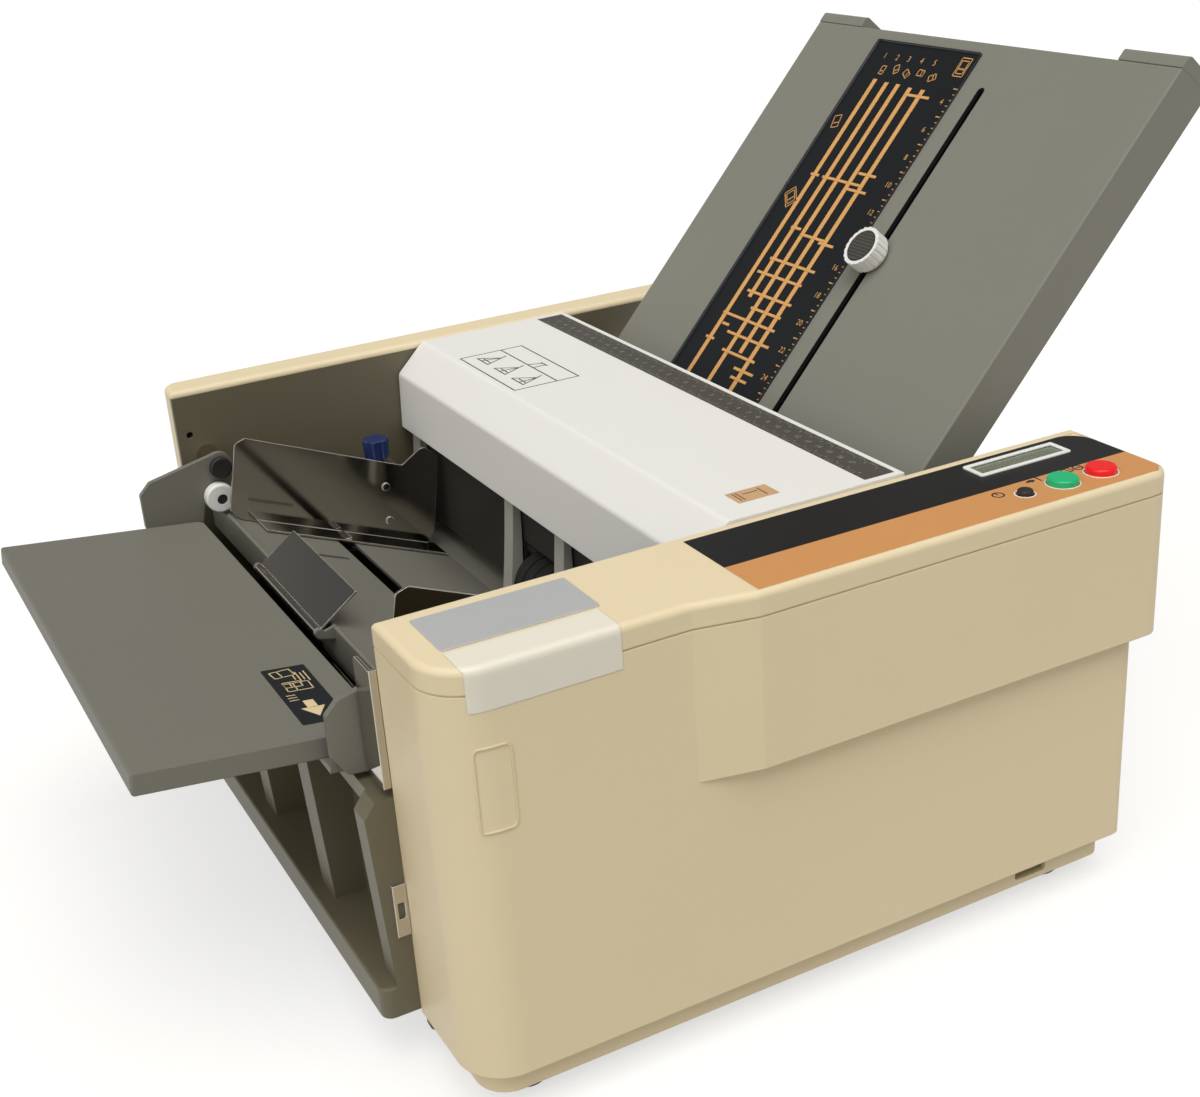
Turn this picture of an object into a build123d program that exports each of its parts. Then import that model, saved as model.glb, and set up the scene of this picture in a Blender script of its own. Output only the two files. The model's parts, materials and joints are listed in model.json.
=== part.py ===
"""Paper folding machine: a desk-top buckle folder for sheets up to A3.

Sheets lie on the feed tray and the sloping feed table, between two side guides.
The feed roller pushes one sheet into the first pair of fold rollers, which drive
it up the upper fold plate to an adjustable stop. The sheet buckles, the second
roller pair folds it and sends it down the lower fold plate, and the last pair
folds it again and drops it onto the exit guide.

Frame: +X runs along the paper path, from the feed tray to the exit. +Y runs
across the machine, from the control side to the rear. +Z is up. The origin is
on the desk, under the middle of the bounding box. Sizes are in millimetres.
"""

import os
from math import atan2, cos, degrees, pi, radians, sin, sqrt, tan

from build123d import *

os.makedirs("parts", exist_ok=True)

# ---------------------------------------------------------------- driving sizes
overall_length = 630.0          # tip of the feed tray to tip of the upper fold plate
overall_depth = 490.0           # control panel bulge to rear cover
inner_width = 390.0             # clear width between the two side plates
front_thickness = 69.0          # control housing, without the bulge
bulge_depth = 7.0
rear_thickness = 24.0
housing_height = 241.0          # top of both housings above the desk
foot_height = 12.0
plinth_height = 15.0
lid_height = 12.0
bulge_height = 91.0
cover_wall = 3.0
plate_thickness = 4.0           # steel side plates

housing_left = -206.0
housing_right = 186.0
rear_left = -191.0              # left end of the rear cover
bulge_left = -82.0              # where the bulge starts to rise
bulge_face_left = -50.0         # where the bulge reaches its full depth
bulge_right = 198.0

front_bulge_y = -overall_depth / 2
front_y = front_bulge_y + bulge_depth
inner_front_y = front_y + front_thickness
inner_rear_y = inner_front_y + inner_width
rear_y = inner_rear_y + rear_thickness
paper_y = (inner_front_y + inner_rear_y) / 2
plinth_z = foot_height
body_z = foot_height + plinth_height
seam_z = housing_height - lid_height
bulge_z = housing_height - bulge_height

running = 0.05                  # radial play of a turning shaft
part_gap = 0.5                  # air between pieces that move past each other

# rollers: centres in the XZ plane
roller_r = 13.8
roller_pitch = 28.0             # centre distance of two meshing fold rollers
journal_r = 4.0
first_angle = 48.0              # slope of the upper fold plate
second_angle = 12.0             # fall of the lower fold plate
roller_length = 352.0
feed_r = 20.0
feed_width = 40.0


def step(origin, distance, angle):
    """Point at a distance and an angle (degrees) from an XZ point."""
    return (origin[0] + distance * cos(radians(angle)), origin[1] + distance * sin(radians(angle)))


roller_2 = (34.0, 100.0)
roller_1 = step(roller_2, roller_pitch, 90 + first_angle)
roller_3 = step(roller_2, roller_pitch, second_angle - 90)
roller_4 = step(roller_3, roller_pitch, 180 + second_angle)
feed_axis = (-23.0, 130.3)
delivery_axis = (144.0, 58.0)

# gears
module = roller_pitch / 24
gear_width = 8.0
gear_y = inner_front_y - plate_thickness - 3.0      # inner face of the gear plane
roller_teeth = 24
feed_teeth = 34
idler_teeth = 18
pinion_teeth = 14
shaft_r = 3.0                   # motor shaft and idler stub

# feed table
table_slope = 22.0
table_knee = (-40.0, 111.2)     # where the slope meets the level lip
table_top_x = -173.0
table_sheet = 2.5
table_end_x = -2.0
rear_guide_reach = 149.5        # guide face to paper centre, for A3 across its short side
front_guide_reach = 118.0       # the front guide stands slid inwards
guide_sheet = 1.5

# upper fold plate, measured along its slope from the tip
fold_tip = (290.3, 416.2)
fold_length = 345.0
fold_width = 336.0
fold_depth = 26.0
channel_gap = 5.0
stop_slot_width = 6.0
stop_slot_y = -4.0
stop_rest = 150.0               # the stop's distance from the tip
stud_u = (262.0, 322.0)         # studs that carry the plate, along the slope
stud_drop = 17.0                # and below its top skin
knob_r = 13.0

# lower fold plate, measured along its slope from the second roller nip
lower_start = 38.0
lower_end = 224.0
lower_width = 328.0

# feed tray
tray_left = -overall_length / 2
tray_right = -193.0
tray_side_gap = 37.5            # room for the brackets between tray and side plate
tray_width = inner_width - 2 * tray_side_gap
tray_depth = 11.0
tray_slope = 6.5
tray_right_z = 166.5
tray_pivot = (-174.0, 196.0)
pin_r = 4.0
bracket_sheet = 4.0

# white top cover
cover_front_x = -39.5
cover_top_drop = 19.5           # crease of the cover below the top of the housings
cover_front_height = 36.5
cover_crease_z = housing_height - cover_top_drop
cover_bottom_z = cover_crease_z - cover_front_height
cover_crease_x = -18.0
cover_rear_x = 88.0
cover_sheet = 2.5
cover_pivot = (82.0, housing_height - 8.0)
arm_axis = (-27.0, cover_crease_z - 25.5)       # shaft of the hold-down arms
arm_hub_r = 7.2


# ---------------------------------------------------------------- frame
plate_left = housing_left + 2.0
plate_right = 182.0
plate_bottom = 16.0
base_sheet = 2.5
base_flange = 12.0
base_slot_pitch = (96.0, 240.0)

with BuildPart() as base_plate:
    with BuildSketch(Plane.XY.offset(plate_bottom)):
        with Locations(((plate_left + plate_right) / 2, paper_y)):
            Rectangle(plate_right - plate_left - 8, inner_width)
    extrude(amount=base_sheet)
    with BuildSketch(Plane.XY.offset(plate_bottom)):
        for side_x in (plate_left + 5, plate_right - 5):
            with Locations((side_x, paper_y)):
                Rectangle(base_sheet, inner_width)
    extrude(amount=base_flange)
    with BuildSketch(Plane.XY.offset(plate_bottom)):
        with GridLocations(base_slot_pitch[0], base_slot_pitch[1], 3, 2):
            SlotOverall(60, 14)
    extrude(amount=base_sheet, mode=Mode.SUBTRACT)
base_plate.part.label = "base_plate"
export_step(base_plate.part, "parts/base_plate.step")

foot_r = 12.0
front_foot_y = front_y + 30.0
rear_foot_y = inner_rear_y - 20.0

with BuildPart() as rubber_feet:
    for foot_y, foot_top in ((front_foot_y, plinth_z), (rear_foot_y, plate_bottom)):
        for foot_x in (-170.0, 152.0):
            foot_plane = Plane(origin=(foot_x, foot_y, 0), x_dir=(1, 0, 0), z_dir=(0, -1, 0))
            with BuildSketch(foot_plane):
                with BuildLine():
                    Polyline((3, 2), (3, 0), (foot_r - 2, 0), (foot_r, 2.5), (foot_r, 8), (foot_r - 2, foot_top),
                             (0, foot_top), (0, 5), (3, 2))
                make_face()
            revolve(axis=Axis((foot_x, foot_y, 0), (0, 0, 1)))
rubber_feet.part.label = "rubber_feet"
export_step(rubber_feet.part, "parts/rubber_feet.step")

bush_outer_r = 7.0
bearing_points = [roller_1, roller_2, roller_3, roller_4, feed_axis, delivery_axis, arm_axis]
tie_r = 6.0
tie_points = [(-156.0, 96.0), (146.0, 132.0), (42.0, housing_height - 33.0)]
stud_r = 5.0
inspection_hole = (-183.0, housing_height - 30.0)


def fold_point(along, above=0.0):
    """XZ point on the upper fold plate: distance from the tip, height over the top skin."""
    slope = radians(first_angle)
    return (fold_tip[0] - along * cos(slope) - above * sin(slope),
            fold_tip[1] - along * sin(slope) + above * cos(slope))


stud_points = [fold_point(along, -stud_drop) for along in stud_u]


def gear_centres(first, first_teeth, second, second_teeth, middle_teeth):
    """Centre of an idler that meshes with two gears, on the upper side of their line."""
    reach_1 = module * (first_teeth + middle_teeth) / 2
    reach_2 = module * (second_teeth + middle_teeth) / 2
    dx, dz = second[0] - first[0], second[1] - first[1]
    gap = sqrt(dx * dx + dz * dz)
    along = (reach_1 ** 2 - reach_2 ** 2 + gap ** 2) / (2 * gap)
    rise = sqrt(reach_1 ** 2 - along ** 2)
    ux, uz = dx / gap, dz / gap
    return (first[0] + along * ux + rise * uz, first[1] + along * uz - rise * ux)


idler_axis = gear_centres(roller_1, roller_teeth, feed_axis, feed_teeth, idler_teeth)

plate_top = housing_height - 4.0
shoulder_z = 146.0

# upper left and upper right edges differ: the front plate also closes the bulge
for plate_name, plate_y, upper_left, upper_right in (
        ("front_side_plate", inner_front_y, plate_left, bulge_right - cover_wall - 0.5),
        ("rear_side_plate", inner_rear_y + plate_thickness, rear_left, plate_right)):
    with BuildPart() as side_plate:
        with BuildSketch(Plane.XZ.offset(-plate_y)):
            with Locations(((plate_left + plate_right) / 2, (plate_bottom + shoulder_z) / 2)):
                Rectangle(plate_right - plate_left, shoulder_z - plate_bottom)
            with Locations(((upper_left + plate_right) / 2, (shoulder_z + plate_top) / 2)):
                Rectangle(plate_right - upper_left, plate_top - shoulder_z)
            with Locations(((plate_right + upper_right) / 2, (bulge_z + cover_wall + 0.5 + plate_top) / 2)):
                Rectangle(upper_right - plate_right + 0.01, plate_top - bulge_z - cover_wall - 0.5)
            fillet(vertices().group_by(Axis.X)[0], 4)
            with Locations(*bearing_points):
                Circle(bush_outer_r, mode=Mode.SUBTRACT)
            with Locations(*tie_points):
                Circle(3, mode=Mode.SUBTRACT)
            with Locations(*stud_points):
                Circle(2.5, mode=Mode.SUBTRACT)
            with Locations(inspection_hole):
                Circle(2.2, mode=Mode.SUBTRACT)
            with Locations((-96, 60), (104, 60)):
                RectangleRounded(60, 34, 8, mode=Mode.SUBTRACT)
        extrude(amount=plate_thickness)
    side_plate.part.label = plate_name
    export_step(side_plate.part, f"parts/{plate_name}.step")

with BuildPart() as tie_bars:
    with BuildSketch(Plane.XZ.offset(-inner_rear_y)):
        with Locations(*tie_points):
            Circle(tie_r)
    extrude(amount=inner_width)
    for side_y, direction in ((inner_front_y, -1), (inner_rear_y, 1)):
        with BuildSketch(Plane.XZ.offset(-side_y)):
            with Locations(*stud_points):
                Circle(stud_r)
        extrude(amount=direction * 31.0)
    # stub that carries the idler gear, with a head that keeps it on
    stub_end = gear_y - gear_width - 0.6
    with BuildSketch(Plane.XZ.offset(-(inner_front_y - plate_thickness))):
        with Locations(idler_axis):
            Circle(shaft_r)
    extrude(amount=inner_front_y - plate_thickness - stub_end + 1.4)
    with BuildSketch(Plane.XZ.offset(-stub_end)):
        with Locations(idler_axis):
            Circle(shaft_r + 2)
    extrude(amount=1.4)
tie_bars.part.label = "tie_bars"
export_step(tie_bars.part, "parts/tie_bars.step")

with BuildPart() as roller_bushes:
    for outer_y, flange_y in ((inner_front_y, inner_front_y - plate_thickness),
                              (inner_rear_y + plate_thickness, inner_rear_y + plate_thickness)):
        with BuildSketch(Plane.XZ.offset(-outer_y)):
            with Locations(*bearing_points):
                Circle(bush_outer_r)
                Circle(journal_r + running, mode=Mode.SUBTRACT)
        extrude(amount=plate_thickness)
        rim = 1.2 if flange_y < 0 else -1.2
        with BuildSketch(Plane.XZ.offset(-flange_y)):
            with Locations(*bearing_points):
                Circle(bush_outer_r + 2)
                Circle(journal_r + running, mode=Mode.SUBTRACT)
        extrude(amount=rim)
roller_bushes.part.label = "roller_bushes"
export_step(roller_bushes.part, "parts/roller_bushes.step")

# ---------------------------------------------------------------- housings
front_corner_r = 25.0
plinth_inset = 8.0


def housing_outline(grow, left, right, front, rear, corner):
    """Plan of the control housing: a rectangle with one large vertical corner."""
    with BuildSketch() as outline:
        with BuildLine():
            Polyline((left - grow, rear), (left - grow, front - grow), (right + grow, front - grow),
                     (right + grow, rear), (left - grow, rear))
        make_face()
        fillet(outline.vertices().group_by(Axis.Y)[0].sort_by(Axis.X)[0], corner)
        fillet(outline.vertices().group_by(Axis.Y)[0].sort_by(Axis.X)[-1], 8)
    return outline.sketch


def bulge_outline(grow):
    """Plan of the deeper panel housing, with its ramp at the left."""
    with BuildSketch() as outline:
        with BuildLine():
            Polyline((bulge_left - grow, inner_front_y), (bulge_left - grow, front_y - grow),
                     (bulge_face_left - grow, front_bulge_y - grow), (bulge_right + grow, front_bulge_y - grow),
                     (bulge_right + grow, inner_front_y), (bulge_left - grow, inner_front_y))
        make_face()
        fillet(outline.vertices().group_by(Axis.Y)[0].sort_by(Axis.X)[-1], 12)
    return outline.sketch


main_plan = housing_outline(0, housing_left, housing_right, front_y, inner_front_y, front_corner_r)
inner_plan = housing_outline(-cover_wall, housing_left, housing_right, front_y, inner_front_y,
                             front_corner_r - cover_wall)
plinth_plan = housing_outline(-plinth_inset, housing_left, housing_right, front_y, inner_front_y,
                              front_corner_r - plinth_inset)
plinth_inner = housing_outline(-plinth_inset - cover_wall, housing_left, housing_right, front_y, inner_front_y,
                               front_corner_r - plinth_inset - cover_wall)
bulge_plan = bulge_outline(0)
bulge_inner = bulge_outline(-cover_wall)
seam_groove = 0.8
seam_main = housing_outline(-seam_groove, housing_left, housing_right, front_y, inner_front_y,
                            front_corner_r - seam_groove)
seam_bulge = bulge_outline(-seam_groove)

inlet_z = 52.0
inlet_y = inner_front_y - 35.0
vent_z = bulge_z - 30.0
switch_z = 82.0
window_x = 127.0

with BuildPart() as front_cover:
    with BuildSketch(Plane.XY.offset(body_z)):
        add(main_plan)
    extrude(amount=seam_z - body_z)
    with BuildSketch(Plane.XY.offset(bulge_z)):
        add(bulge_plan)
    extrude(amount=seam_z - bulge_z)
    with BuildSketch(Plane.XY.offset(plinth_z)):
        add(plinth_plan)
    extrude(amount=plinth_height)
    # hollow, open at the top and toward the side plate
    with BuildSketch(Plane.XY.offset(body_z + cover_wall)):
        add(inner_plan)
    extrude(amount=seam_z - body_z, mode=Mode.SUBTRACT)
    with BuildSketch(Plane.XY.offset(bulge_z + cover_wall)):
        add(bulge_inner)
    extrude(amount=seam_z - bulge_z, mode=Mode.SUBTRACT)
    with BuildSketch(Plane.XY.offset(plinth_z + cover_wall)):
        add(plinth_inner)
    extrude(amount=plinth_height + 1, mode=Mode.SUBTRACT)
    # shadow groove under the lid
    with BuildSketch(Plane.XY.offset(seam_z - seam_groove)):
        add(housing_outline(2, housing_left, housing_right, front_y, inner_front_y, front_corner_r + 2))
        add(bulge_outline(2))
        add(seam_main, mode=Mode.SUBTRACT)
        add(seam_bulge, mode=Mode.SUBTRACT)
    extrude(amount=seam_groove, mode=Mode.SUBTRACT)
    # small window in the plinth
    with BuildSketch(Plane.XZ.offset(-front_y)):
        with Locations((window_x, plinth_z + (cover_wall + plinth_height) / 2)):
            RectangleRounded(21, plinth_height - cover_wall - 0.5, 2)
    extrude(amount=-(plinth_inset + cover_wall + 1), mode=Mode.SUBTRACT)
    # mains inlet, switch and vent openings in the right-hand end
    with BuildSketch(Plane.YZ.offset(housing_right + 1)):
        with Locations((inlet_y, inlet_z)):
            Rectangle(28, 20)
        with Locations((inlet_y, switch_z)):
            Rectangle(20, 13)
        with Locations((inlet_y, vent_z)):
            with GridLocations(0, 7, 1, 6):
                SlotOverall(38, 3)
    extrude(amount=-(cover_wall + 2), mode=Mode.SUBTRACT)
    # clearance for the front side plate, which closes the open side
    with BuildSketch(Plane.XY.offset(plate_bottom)):
        with Locations(((plate_left + plate_right) / 2, inner_front_y)):
            Rectangle(plate_right - plate_left, plate_thickness * 2)
    extrude(amount=housing_height, mode=Mode.SUBTRACT)
front_cover.part.label = "front_cover"
export_step(front_cover.part, "parts/front_cover.step")

panel_split_y = inner_front_y - 44.0
display_y = (panel_split_y, inner_front_y - 7.0)
key_y = (front_bulge_y + 3.0, panel_split_y)
panel_x = (-49.0, 195.0)
panel_sheet = 1.0
lid_sheet = 3.0
button_y = front_bulge_y + 18.5
start_button_at = (141.0, button_y)
stop_button_at = (166.0, button_y)
select_button_at = (117.0, button_y)
display_at = (144.0, inner_front_y - 20.0)
display_opening = (56.0, 13.0)
button_r = 8.0
panel_corner_r = 14.0
select_r = 4.0

with BuildPart() as front_lid:
    with BuildSketch(Plane.XY.offset(seam_z)):
        add(main_plan)
        add(bulge_plan)
    extrude(amount=lid_height)
    fillet(front_lid.faces().sort_by(Axis.Z)[-1].edges(), 3.5)
    with BuildSketch(Plane.XY.offset(seam_z)):
        add(inner_plan)
        add(bulge_inner)
    extrude(amount=lid_height - lid_sheet, mode=Mode.SUBTRACT)
    # recess for the two panels
    with BuildSketch(Plane.XY.offset(housing_height - panel_sheet)):
        with Locations(((panel_x[0] + panel_x[1]) / 2, (display_y[1] + key_y[0]) / 2)):
            Rectangle(panel_x[1] - panel_x[0], display_y[1] - key_y[0])
    extrude(amount=panel_sheet + 1, mode=Mode.SUBTRACT)
    for place, radius in ((start_button_at, button_r), (stop_button_at, button_r), (select_button_at, select_r)):
        with BuildSketch(Plane.XY.offset(seam_z)):
            with Locations(place):
                Circle(radius + part_gap)
        extrude(amount=lid_height + 1, mode=Mode.SUBTRACT)
    with BuildSketch(Plane.XY.offset(seam_z)):
        with Locations(display_at):
            Rectangle(*display_opening)
    extrude(amount=lid_height + 1, mode=Mode.SUBTRACT)
    # the lid steps over the side plate
    with BuildSketch(Plane.XY.offset(seam_z)):
        with Locations(((plate_left + plate_right) / 2, inner_front_y)):
            Rectangle(plate_right - plate_left, plate_thickness * 2)
    extrude(amount=housing_height - 4 - seam_z, mode=Mode.SUBTRACT)
front_lid.part.label = "front_lid"
export_step(front_lid.part, "parts/front_lid.step")

with BuildPart() as rear_cover:
    with BuildSketch(Plane.XY.offset(body_z)):
        with Locations(((rear_left + housing_right) / 2, (inner_rear_y + rear_y) / 2)):
            Rectangle(housing_right - rear_left, rear_thickness)
        fillet(vertices().group_by(Axis.Y)[-1], 10)
    extrude(amount=housing_height - body_z)
    fillet(rear_cover.faces().sort_by(Axis.Z)[-1].edges(), 3.5)
    with BuildSketch(Plane.XY.offset(plinth_z)):
        with Locations(((rear_left + housing_right) / 2, (inner_rear_y + rear_y - plinth_inset) / 2)):
            Rectangle(housing_right - rear_left - 2 * plinth_inset, rear_thickness - plinth_inset)
    extrude(amount=plinth_height)
    with BuildSketch(Plane.XY.offset(plate_bottom)):
        with Locations(((rear_left + housing_right) / 2, inner_rear_y)):
            Rectangle(housing_right - rear_left - 2 * plinth_inset - 2 * cover_wall,
                      2 * (rear_thickness - plinth_inset - cover_wall))
    extrude(amount=body_z - plate_bottom + cover_wall, mode=Mode.SUBTRACT)
    with BuildSketch(Plane.XY.offset(body_z + cover_wall)):
        with Locations(((rear_left + housing_right) / 2, inner_rear_y)):
            Rectangle(housing_right - rear_left - 2 * cover_wall, 2 * (rear_thickness - cover_wall))
    extrude(amount=housing_height - body_z - cover_wall - 4, mode=Mode.SUBTRACT)
    with BuildSketch(Plane.XY.offset(plate_bottom)):
        with Locations(((plate_left + plate_right) / 2, inner_rear_y)):
            Rectangle(plate_right - plate_left, plate_thickness * 2)
    extrude(amount=housing_height - 4 - plate_bottom, mode=Mode.SUBTRACT)
rear_cover.part.label = "rear_cover"
export_step(rear_cover.part, "parts/rear_cover.step")

# ---------------------------------------------------------------- control panel
key_corner_r = 9.0
display_window = (54.0, 11.0)
panel_length = panel_x[1] - panel_x[0]
panel_middle = (panel_x[0] + panel_x[1]) / 2
panel_z = housing_height - panel_sheet

with BuildPart() as display_panel:
    with BuildSketch(Plane.XY.offset(panel_z)):
        with Locations((panel_middle, (display_y[0] + display_y[1]) / 2)):
            Rectangle(panel_length, display_y[1] - display_y[0])
        fillet(vertices().group_by(Axis.Y)[-1].sort_by(Axis.X)[-1], panel_corner_r)
        with Locations(display_at):
            Rectangle(*display_window, mode=Mode.SUBTRACT)
    extrude(amount=panel_sheet)
display_panel.part.label = "display_panel"
export_step(display_panel.part, "parts/display_panel.step")

with BuildPart() as key_panel:
    with BuildSketch(Plane.XY.offset(panel_z)):
        with Locations((panel_middle, (key_y[0] + key_y[1]) / 2)):
            Rectangle(panel_length, key_y[1] - key_y[0])
        fillet(vertices().group_by(Axis.Y)[0].sort_by(Axis.X)[-1], key_corner_r)
        with Locations(start_button_at, stop_button_at):
            Circle(button_r + part_gap, mode=Mode.SUBTRACT)
        with Locations(select_button_at):
            Circle(select_r + part_gap, mode=Mode.SUBTRACT)
    extrude(amount=panel_sheet)
key_panel.part.label = "key_panel"
export_step(key_panel.part, "parts/key_panel.step")

bezel_rim = 2.6
bezel_height = 1.0

with BuildPart() as display_bezel:
    with BuildSketch(Plane.XY.offset(housing_height)):
        with Locations(display_at):
            RectangleRounded(display_window[0] + 2 * bezel_rim, display_window[1] + 2 * bezel_rim, 1.5)
            Rectangle(*display_window, mode=Mode.SUBTRACT)
    extrude(amount=bezel_height)
    chamfer(display_bezel.faces().sort_by(Axis.Z)[-1].edges(), 0.4)
display_bezel.part.label = "display_bezel"
export_step(display_bezel.part, "parts/display_bezel.step")

glass_bottom = housing_height - 1.6

with BuildPart() as display_glass:
    with BuildSketch(Plane.XY.offset(glass_bottom)):
        with Locations(display_at):
            Rectangle(display_window[0], display_window[1])
    extrude(amount=1.4)
display_glass.part.label = "display_glass"
export_step(display_glass.part, "parts/display_glass.step")

button_travel = 1.5
button_flange_top = housing_height - lid_sheet - 0.5
button_bottom = housing_height - 10.0

for button_name, place, radius, rise in (("start_button", start_button_at, button_r, 3.5),
                                         ("stop_button", stop_button_at, button_r, 3.5),
                                         ("select_button", select_button_at, select_r, 2.5)):
    with BuildPart() as button:
        with BuildSketch(Plane.XY.offset(button_bottom)):
            with Locations(place):
                Circle(radius)
        extrude(amount=housing_height + rise - button_bottom)
        fillet(button.faces().sort_by(Axis.Z)[-1].edges(), 1.2)
        with BuildSketch(Plane.XY.offset(button_flange_top - 1.5)):
            with Locations(place):
                Circle(radius + 1.6)
        extrude(amount=1.5)
    button.part.label = button_name
    export_step(button.part, f"parts/{button_name}.step")

board_z = housing_height - 19.0
board_sheet = 1.6
board_at = (144.0, inner_front_y - 39.0)

with BuildPart() as control_board:
    with BuildSketch(Plane.XY.offset(board_z)):
        with Locations(board_at):
            Rectangle(92, 54)
    extrude(amount=board_sheet)
    for place in (start_button_at, stop_button_at, select_button_at):
        with BuildSketch(Plane.XY.offset(board_z + board_sheet)):
            with Locations(place):
                Rectangle(6, 6)
        extrude(amount=button_bottom - button_travel - 0.5 - board_z - board_sheet)
    with BuildSketch(Plane.XY.offset(board_z + board_sheet)):
        with Locations(display_at):
            Rectangle(display_window[0] - 1, display_window[1] - 1)
    extrude(amount=glass_bottom - board_z - board_sheet)
    with BuildSketch(Plane.XY.offset(board_z)):
        with Locations(board_at):
            with Locations((-32, 12), (0, -6), (28, 8)):
                Rectangle(16, 10)
    extrude(amount=-5)
control_board.part.label = "control_board"
export_step(control_board.part, "parts/control_board.step")

# ---------------------------------------------------------------- drive in the control housing
motor_r = 24.0
motor_inner_y = gear_y - gear_width - 4.0
motor_length = 44.0


def mesh_phase(known, known_teeth, known_phase, other, other_teeth):
    """Angle of a tooth of the other gear when its gap meets a tooth of the known gear."""
    line = degrees(atan2(other[1] - known[1], other[0] - known[0]))
    share = (known_phase - line) / (360 / known_teeth)
    return line + 180 + (0.5 - share) * (360 / other_teeth)


pinion_axis = step(roller_4, module * (roller_teeth + pinion_teeth) / 2, 210)

phase_2 = 0.0
phase_1 = mesh_phase(roller_2, roller_teeth, phase_2, roller_1, roller_teeth)
phase_3 = mesh_phase(roller_2, roller_teeth, phase_2, roller_3, roller_teeth)
phase_4 = mesh_phase(roller_3, roller_teeth, phase_3, roller_4, roller_teeth)
idler_phase = mesh_phase(roller_1, roller_teeth, phase_1, idler_axis, idler_teeth)
feed_phase = mesh_phase(idler_axis, idler_teeth, idler_phase, feed_axis, feed_teeth)
pinion_phase = mesh_phase(roller_4, roller_teeth, phase_4, pinion_axis, pinion_teeth)


def gear_sketch(centre, teeth, phase, bore_r):
    """Spur gear in the XZ plane, with straight flanks and a little backlash."""
    pitch_r = module * teeth / 2
    half_at_pitch = 0.205 * pi * module
    rows = ((-1.15, 0.62), (0.85, -0.32))
    points = []
    for tooth in range(teeth):
        middle = radians(phase + tooth * 360 / teeth)
        flank = []
        for height, widen in rows:
            radius = pitch_r + height * module
            flank.append((radius, (half_at_pitch + widen * 0.55 * module) / radius))
        for radius, half_angle in (*[(r, -a) for r, a in flank], *[(r, a) for r, a in reversed(flank)]):
            angle = middle + half_angle
            points.append((centre[0] + radius * cos(angle), centre[1] + radius * sin(angle)))
    with BuildSketch(Plane.XZ.offset(-gear_y)) as profile:
        with BuildLine():
            Polyline(*points, close=True)
        make_face()
        with Locations(centre):
            Circle(bore_r, mode=Mode.SUBTRACT)
    return profile.sketch


gear_list = (("fold_gear_1", roller_1, roller_teeth, phase_1, journal_r),
             ("fold_gear_2", roller_2, roller_teeth, phase_2, journal_r),
             ("fold_gear_3", roller_3, roller_teeth, phase_3, journal_r),
             ("fold_gear_4", roller_4, roller_teeth, phase_4, journal_r),
             ("feed_gear", feed_axis, feed_teeth, feed_phase, journal_r),
             ("idler_gear", idler_axis, idler_teeth, idler_phase, shaft_r + running))

for gear_name, centre, teeth, phase, bore_r in gear_list:
    with BuildPart() as gear:
        extrude(gear_sketch(centre, teeth, phase, bore_r), amount=gear_width)
        if teeth == feed_teeth:
            with BuildSketch(Plane.XZ.offset(-gear_y + gear_width)):
                with Locations(centre):
                    with PolarLocations(12, 5):
                        Circle(3)
            extrude(amount=-gear_width, mode=Mode.SUBTRACT)
    gear.part.label = gear_name
    export_step(gear.part, f"parts/{gear_name}.step")

with BuildPart() as motor_pinion:
    extrude(gear_sketch(pinion_axis, pinion_teeth, pinion_phase, shaft_r), amount=gear_width)
    with BuildSketch(Plane.XZ.offset(-gear_y)):
        with Locations(pinion_axis):
            Circle(shaft_r)
    extrude(amount=gear_width + 12)
motor_pinion.part.label = "motor_pinion"
export_step(motor_pinion.part, "parts/motor_pinion.step")

with BuildPart() as motor:
    with BuildSketch(Plane.XZ.offset(-motor_inner_y)):
        with Locations(pinion_axis):
            Circle(motor_r)
    extrude(amount=motor_length)
    fillet(motor.faces().sort_by(Axis.Y)[0].edges(), 3)
    with BuildSketch(Plane.XZ.offset(-motor_inner_y)):
        with Locations(pinion_axis):
            Circle(shaft_r + running)
    extrude(amount=11, mode=Mode.SUBTRACT)
    with BuildSketch(Plane.XZ.offset(-(inner_front_y - plate_thickness))):
        with Locations(pinion_axis):
            with Locations(*[step((0, 0), 19, angle) for angle in (120, 210, 300)]):
                Circle(2.5)
    extrude(amount=inner_front_y - plate_thickness - motor_inner_y)
motor.part.label = "motor"
export_step(motor.part, "parts/motor.step")

supply_at = (96.0, inner_front_y - 40.0)

with BuildPart() as power_supply:
    with BuildSketch(Plane.XY.offset(body_z + cover_wall)):
        with Locations(supply_at):
            Rectangle(76, 44)
    extrude(amount=2)
    with BuildSketch(Plane.XY.offset(body_z + cover_wall + 2)):
        with Locations(supply_at):
            Rectangle(70, 40)
    extrude(amount=38)
    fillet(power_supply.edges().filter_by(Axis.Z).group_by(SortBy.LENGTH)[-1], 2)
    with BuildSketch(Plane.XY.offset(body_z + cover_wall + 40)):
        with Locations(supply_at):
            with GridLocations(0, 6, 1, 5):
                SlotOverall(50, 2.4)
    extrude(amount=-2, mode=Mode.SUBTRACT)
power_supply.part.label = "power_supply"
export_step(power_supply.part, "parts/power_supply.step")

# mains inlet and rocker switch in the right-hand end
inlet_face_x = housing_right + 1.5
inlet_size = (28.0, 20.0)
switch_size = (20.0, 13.0)
rocker_pivot_x = housing_right - 3.0

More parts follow.
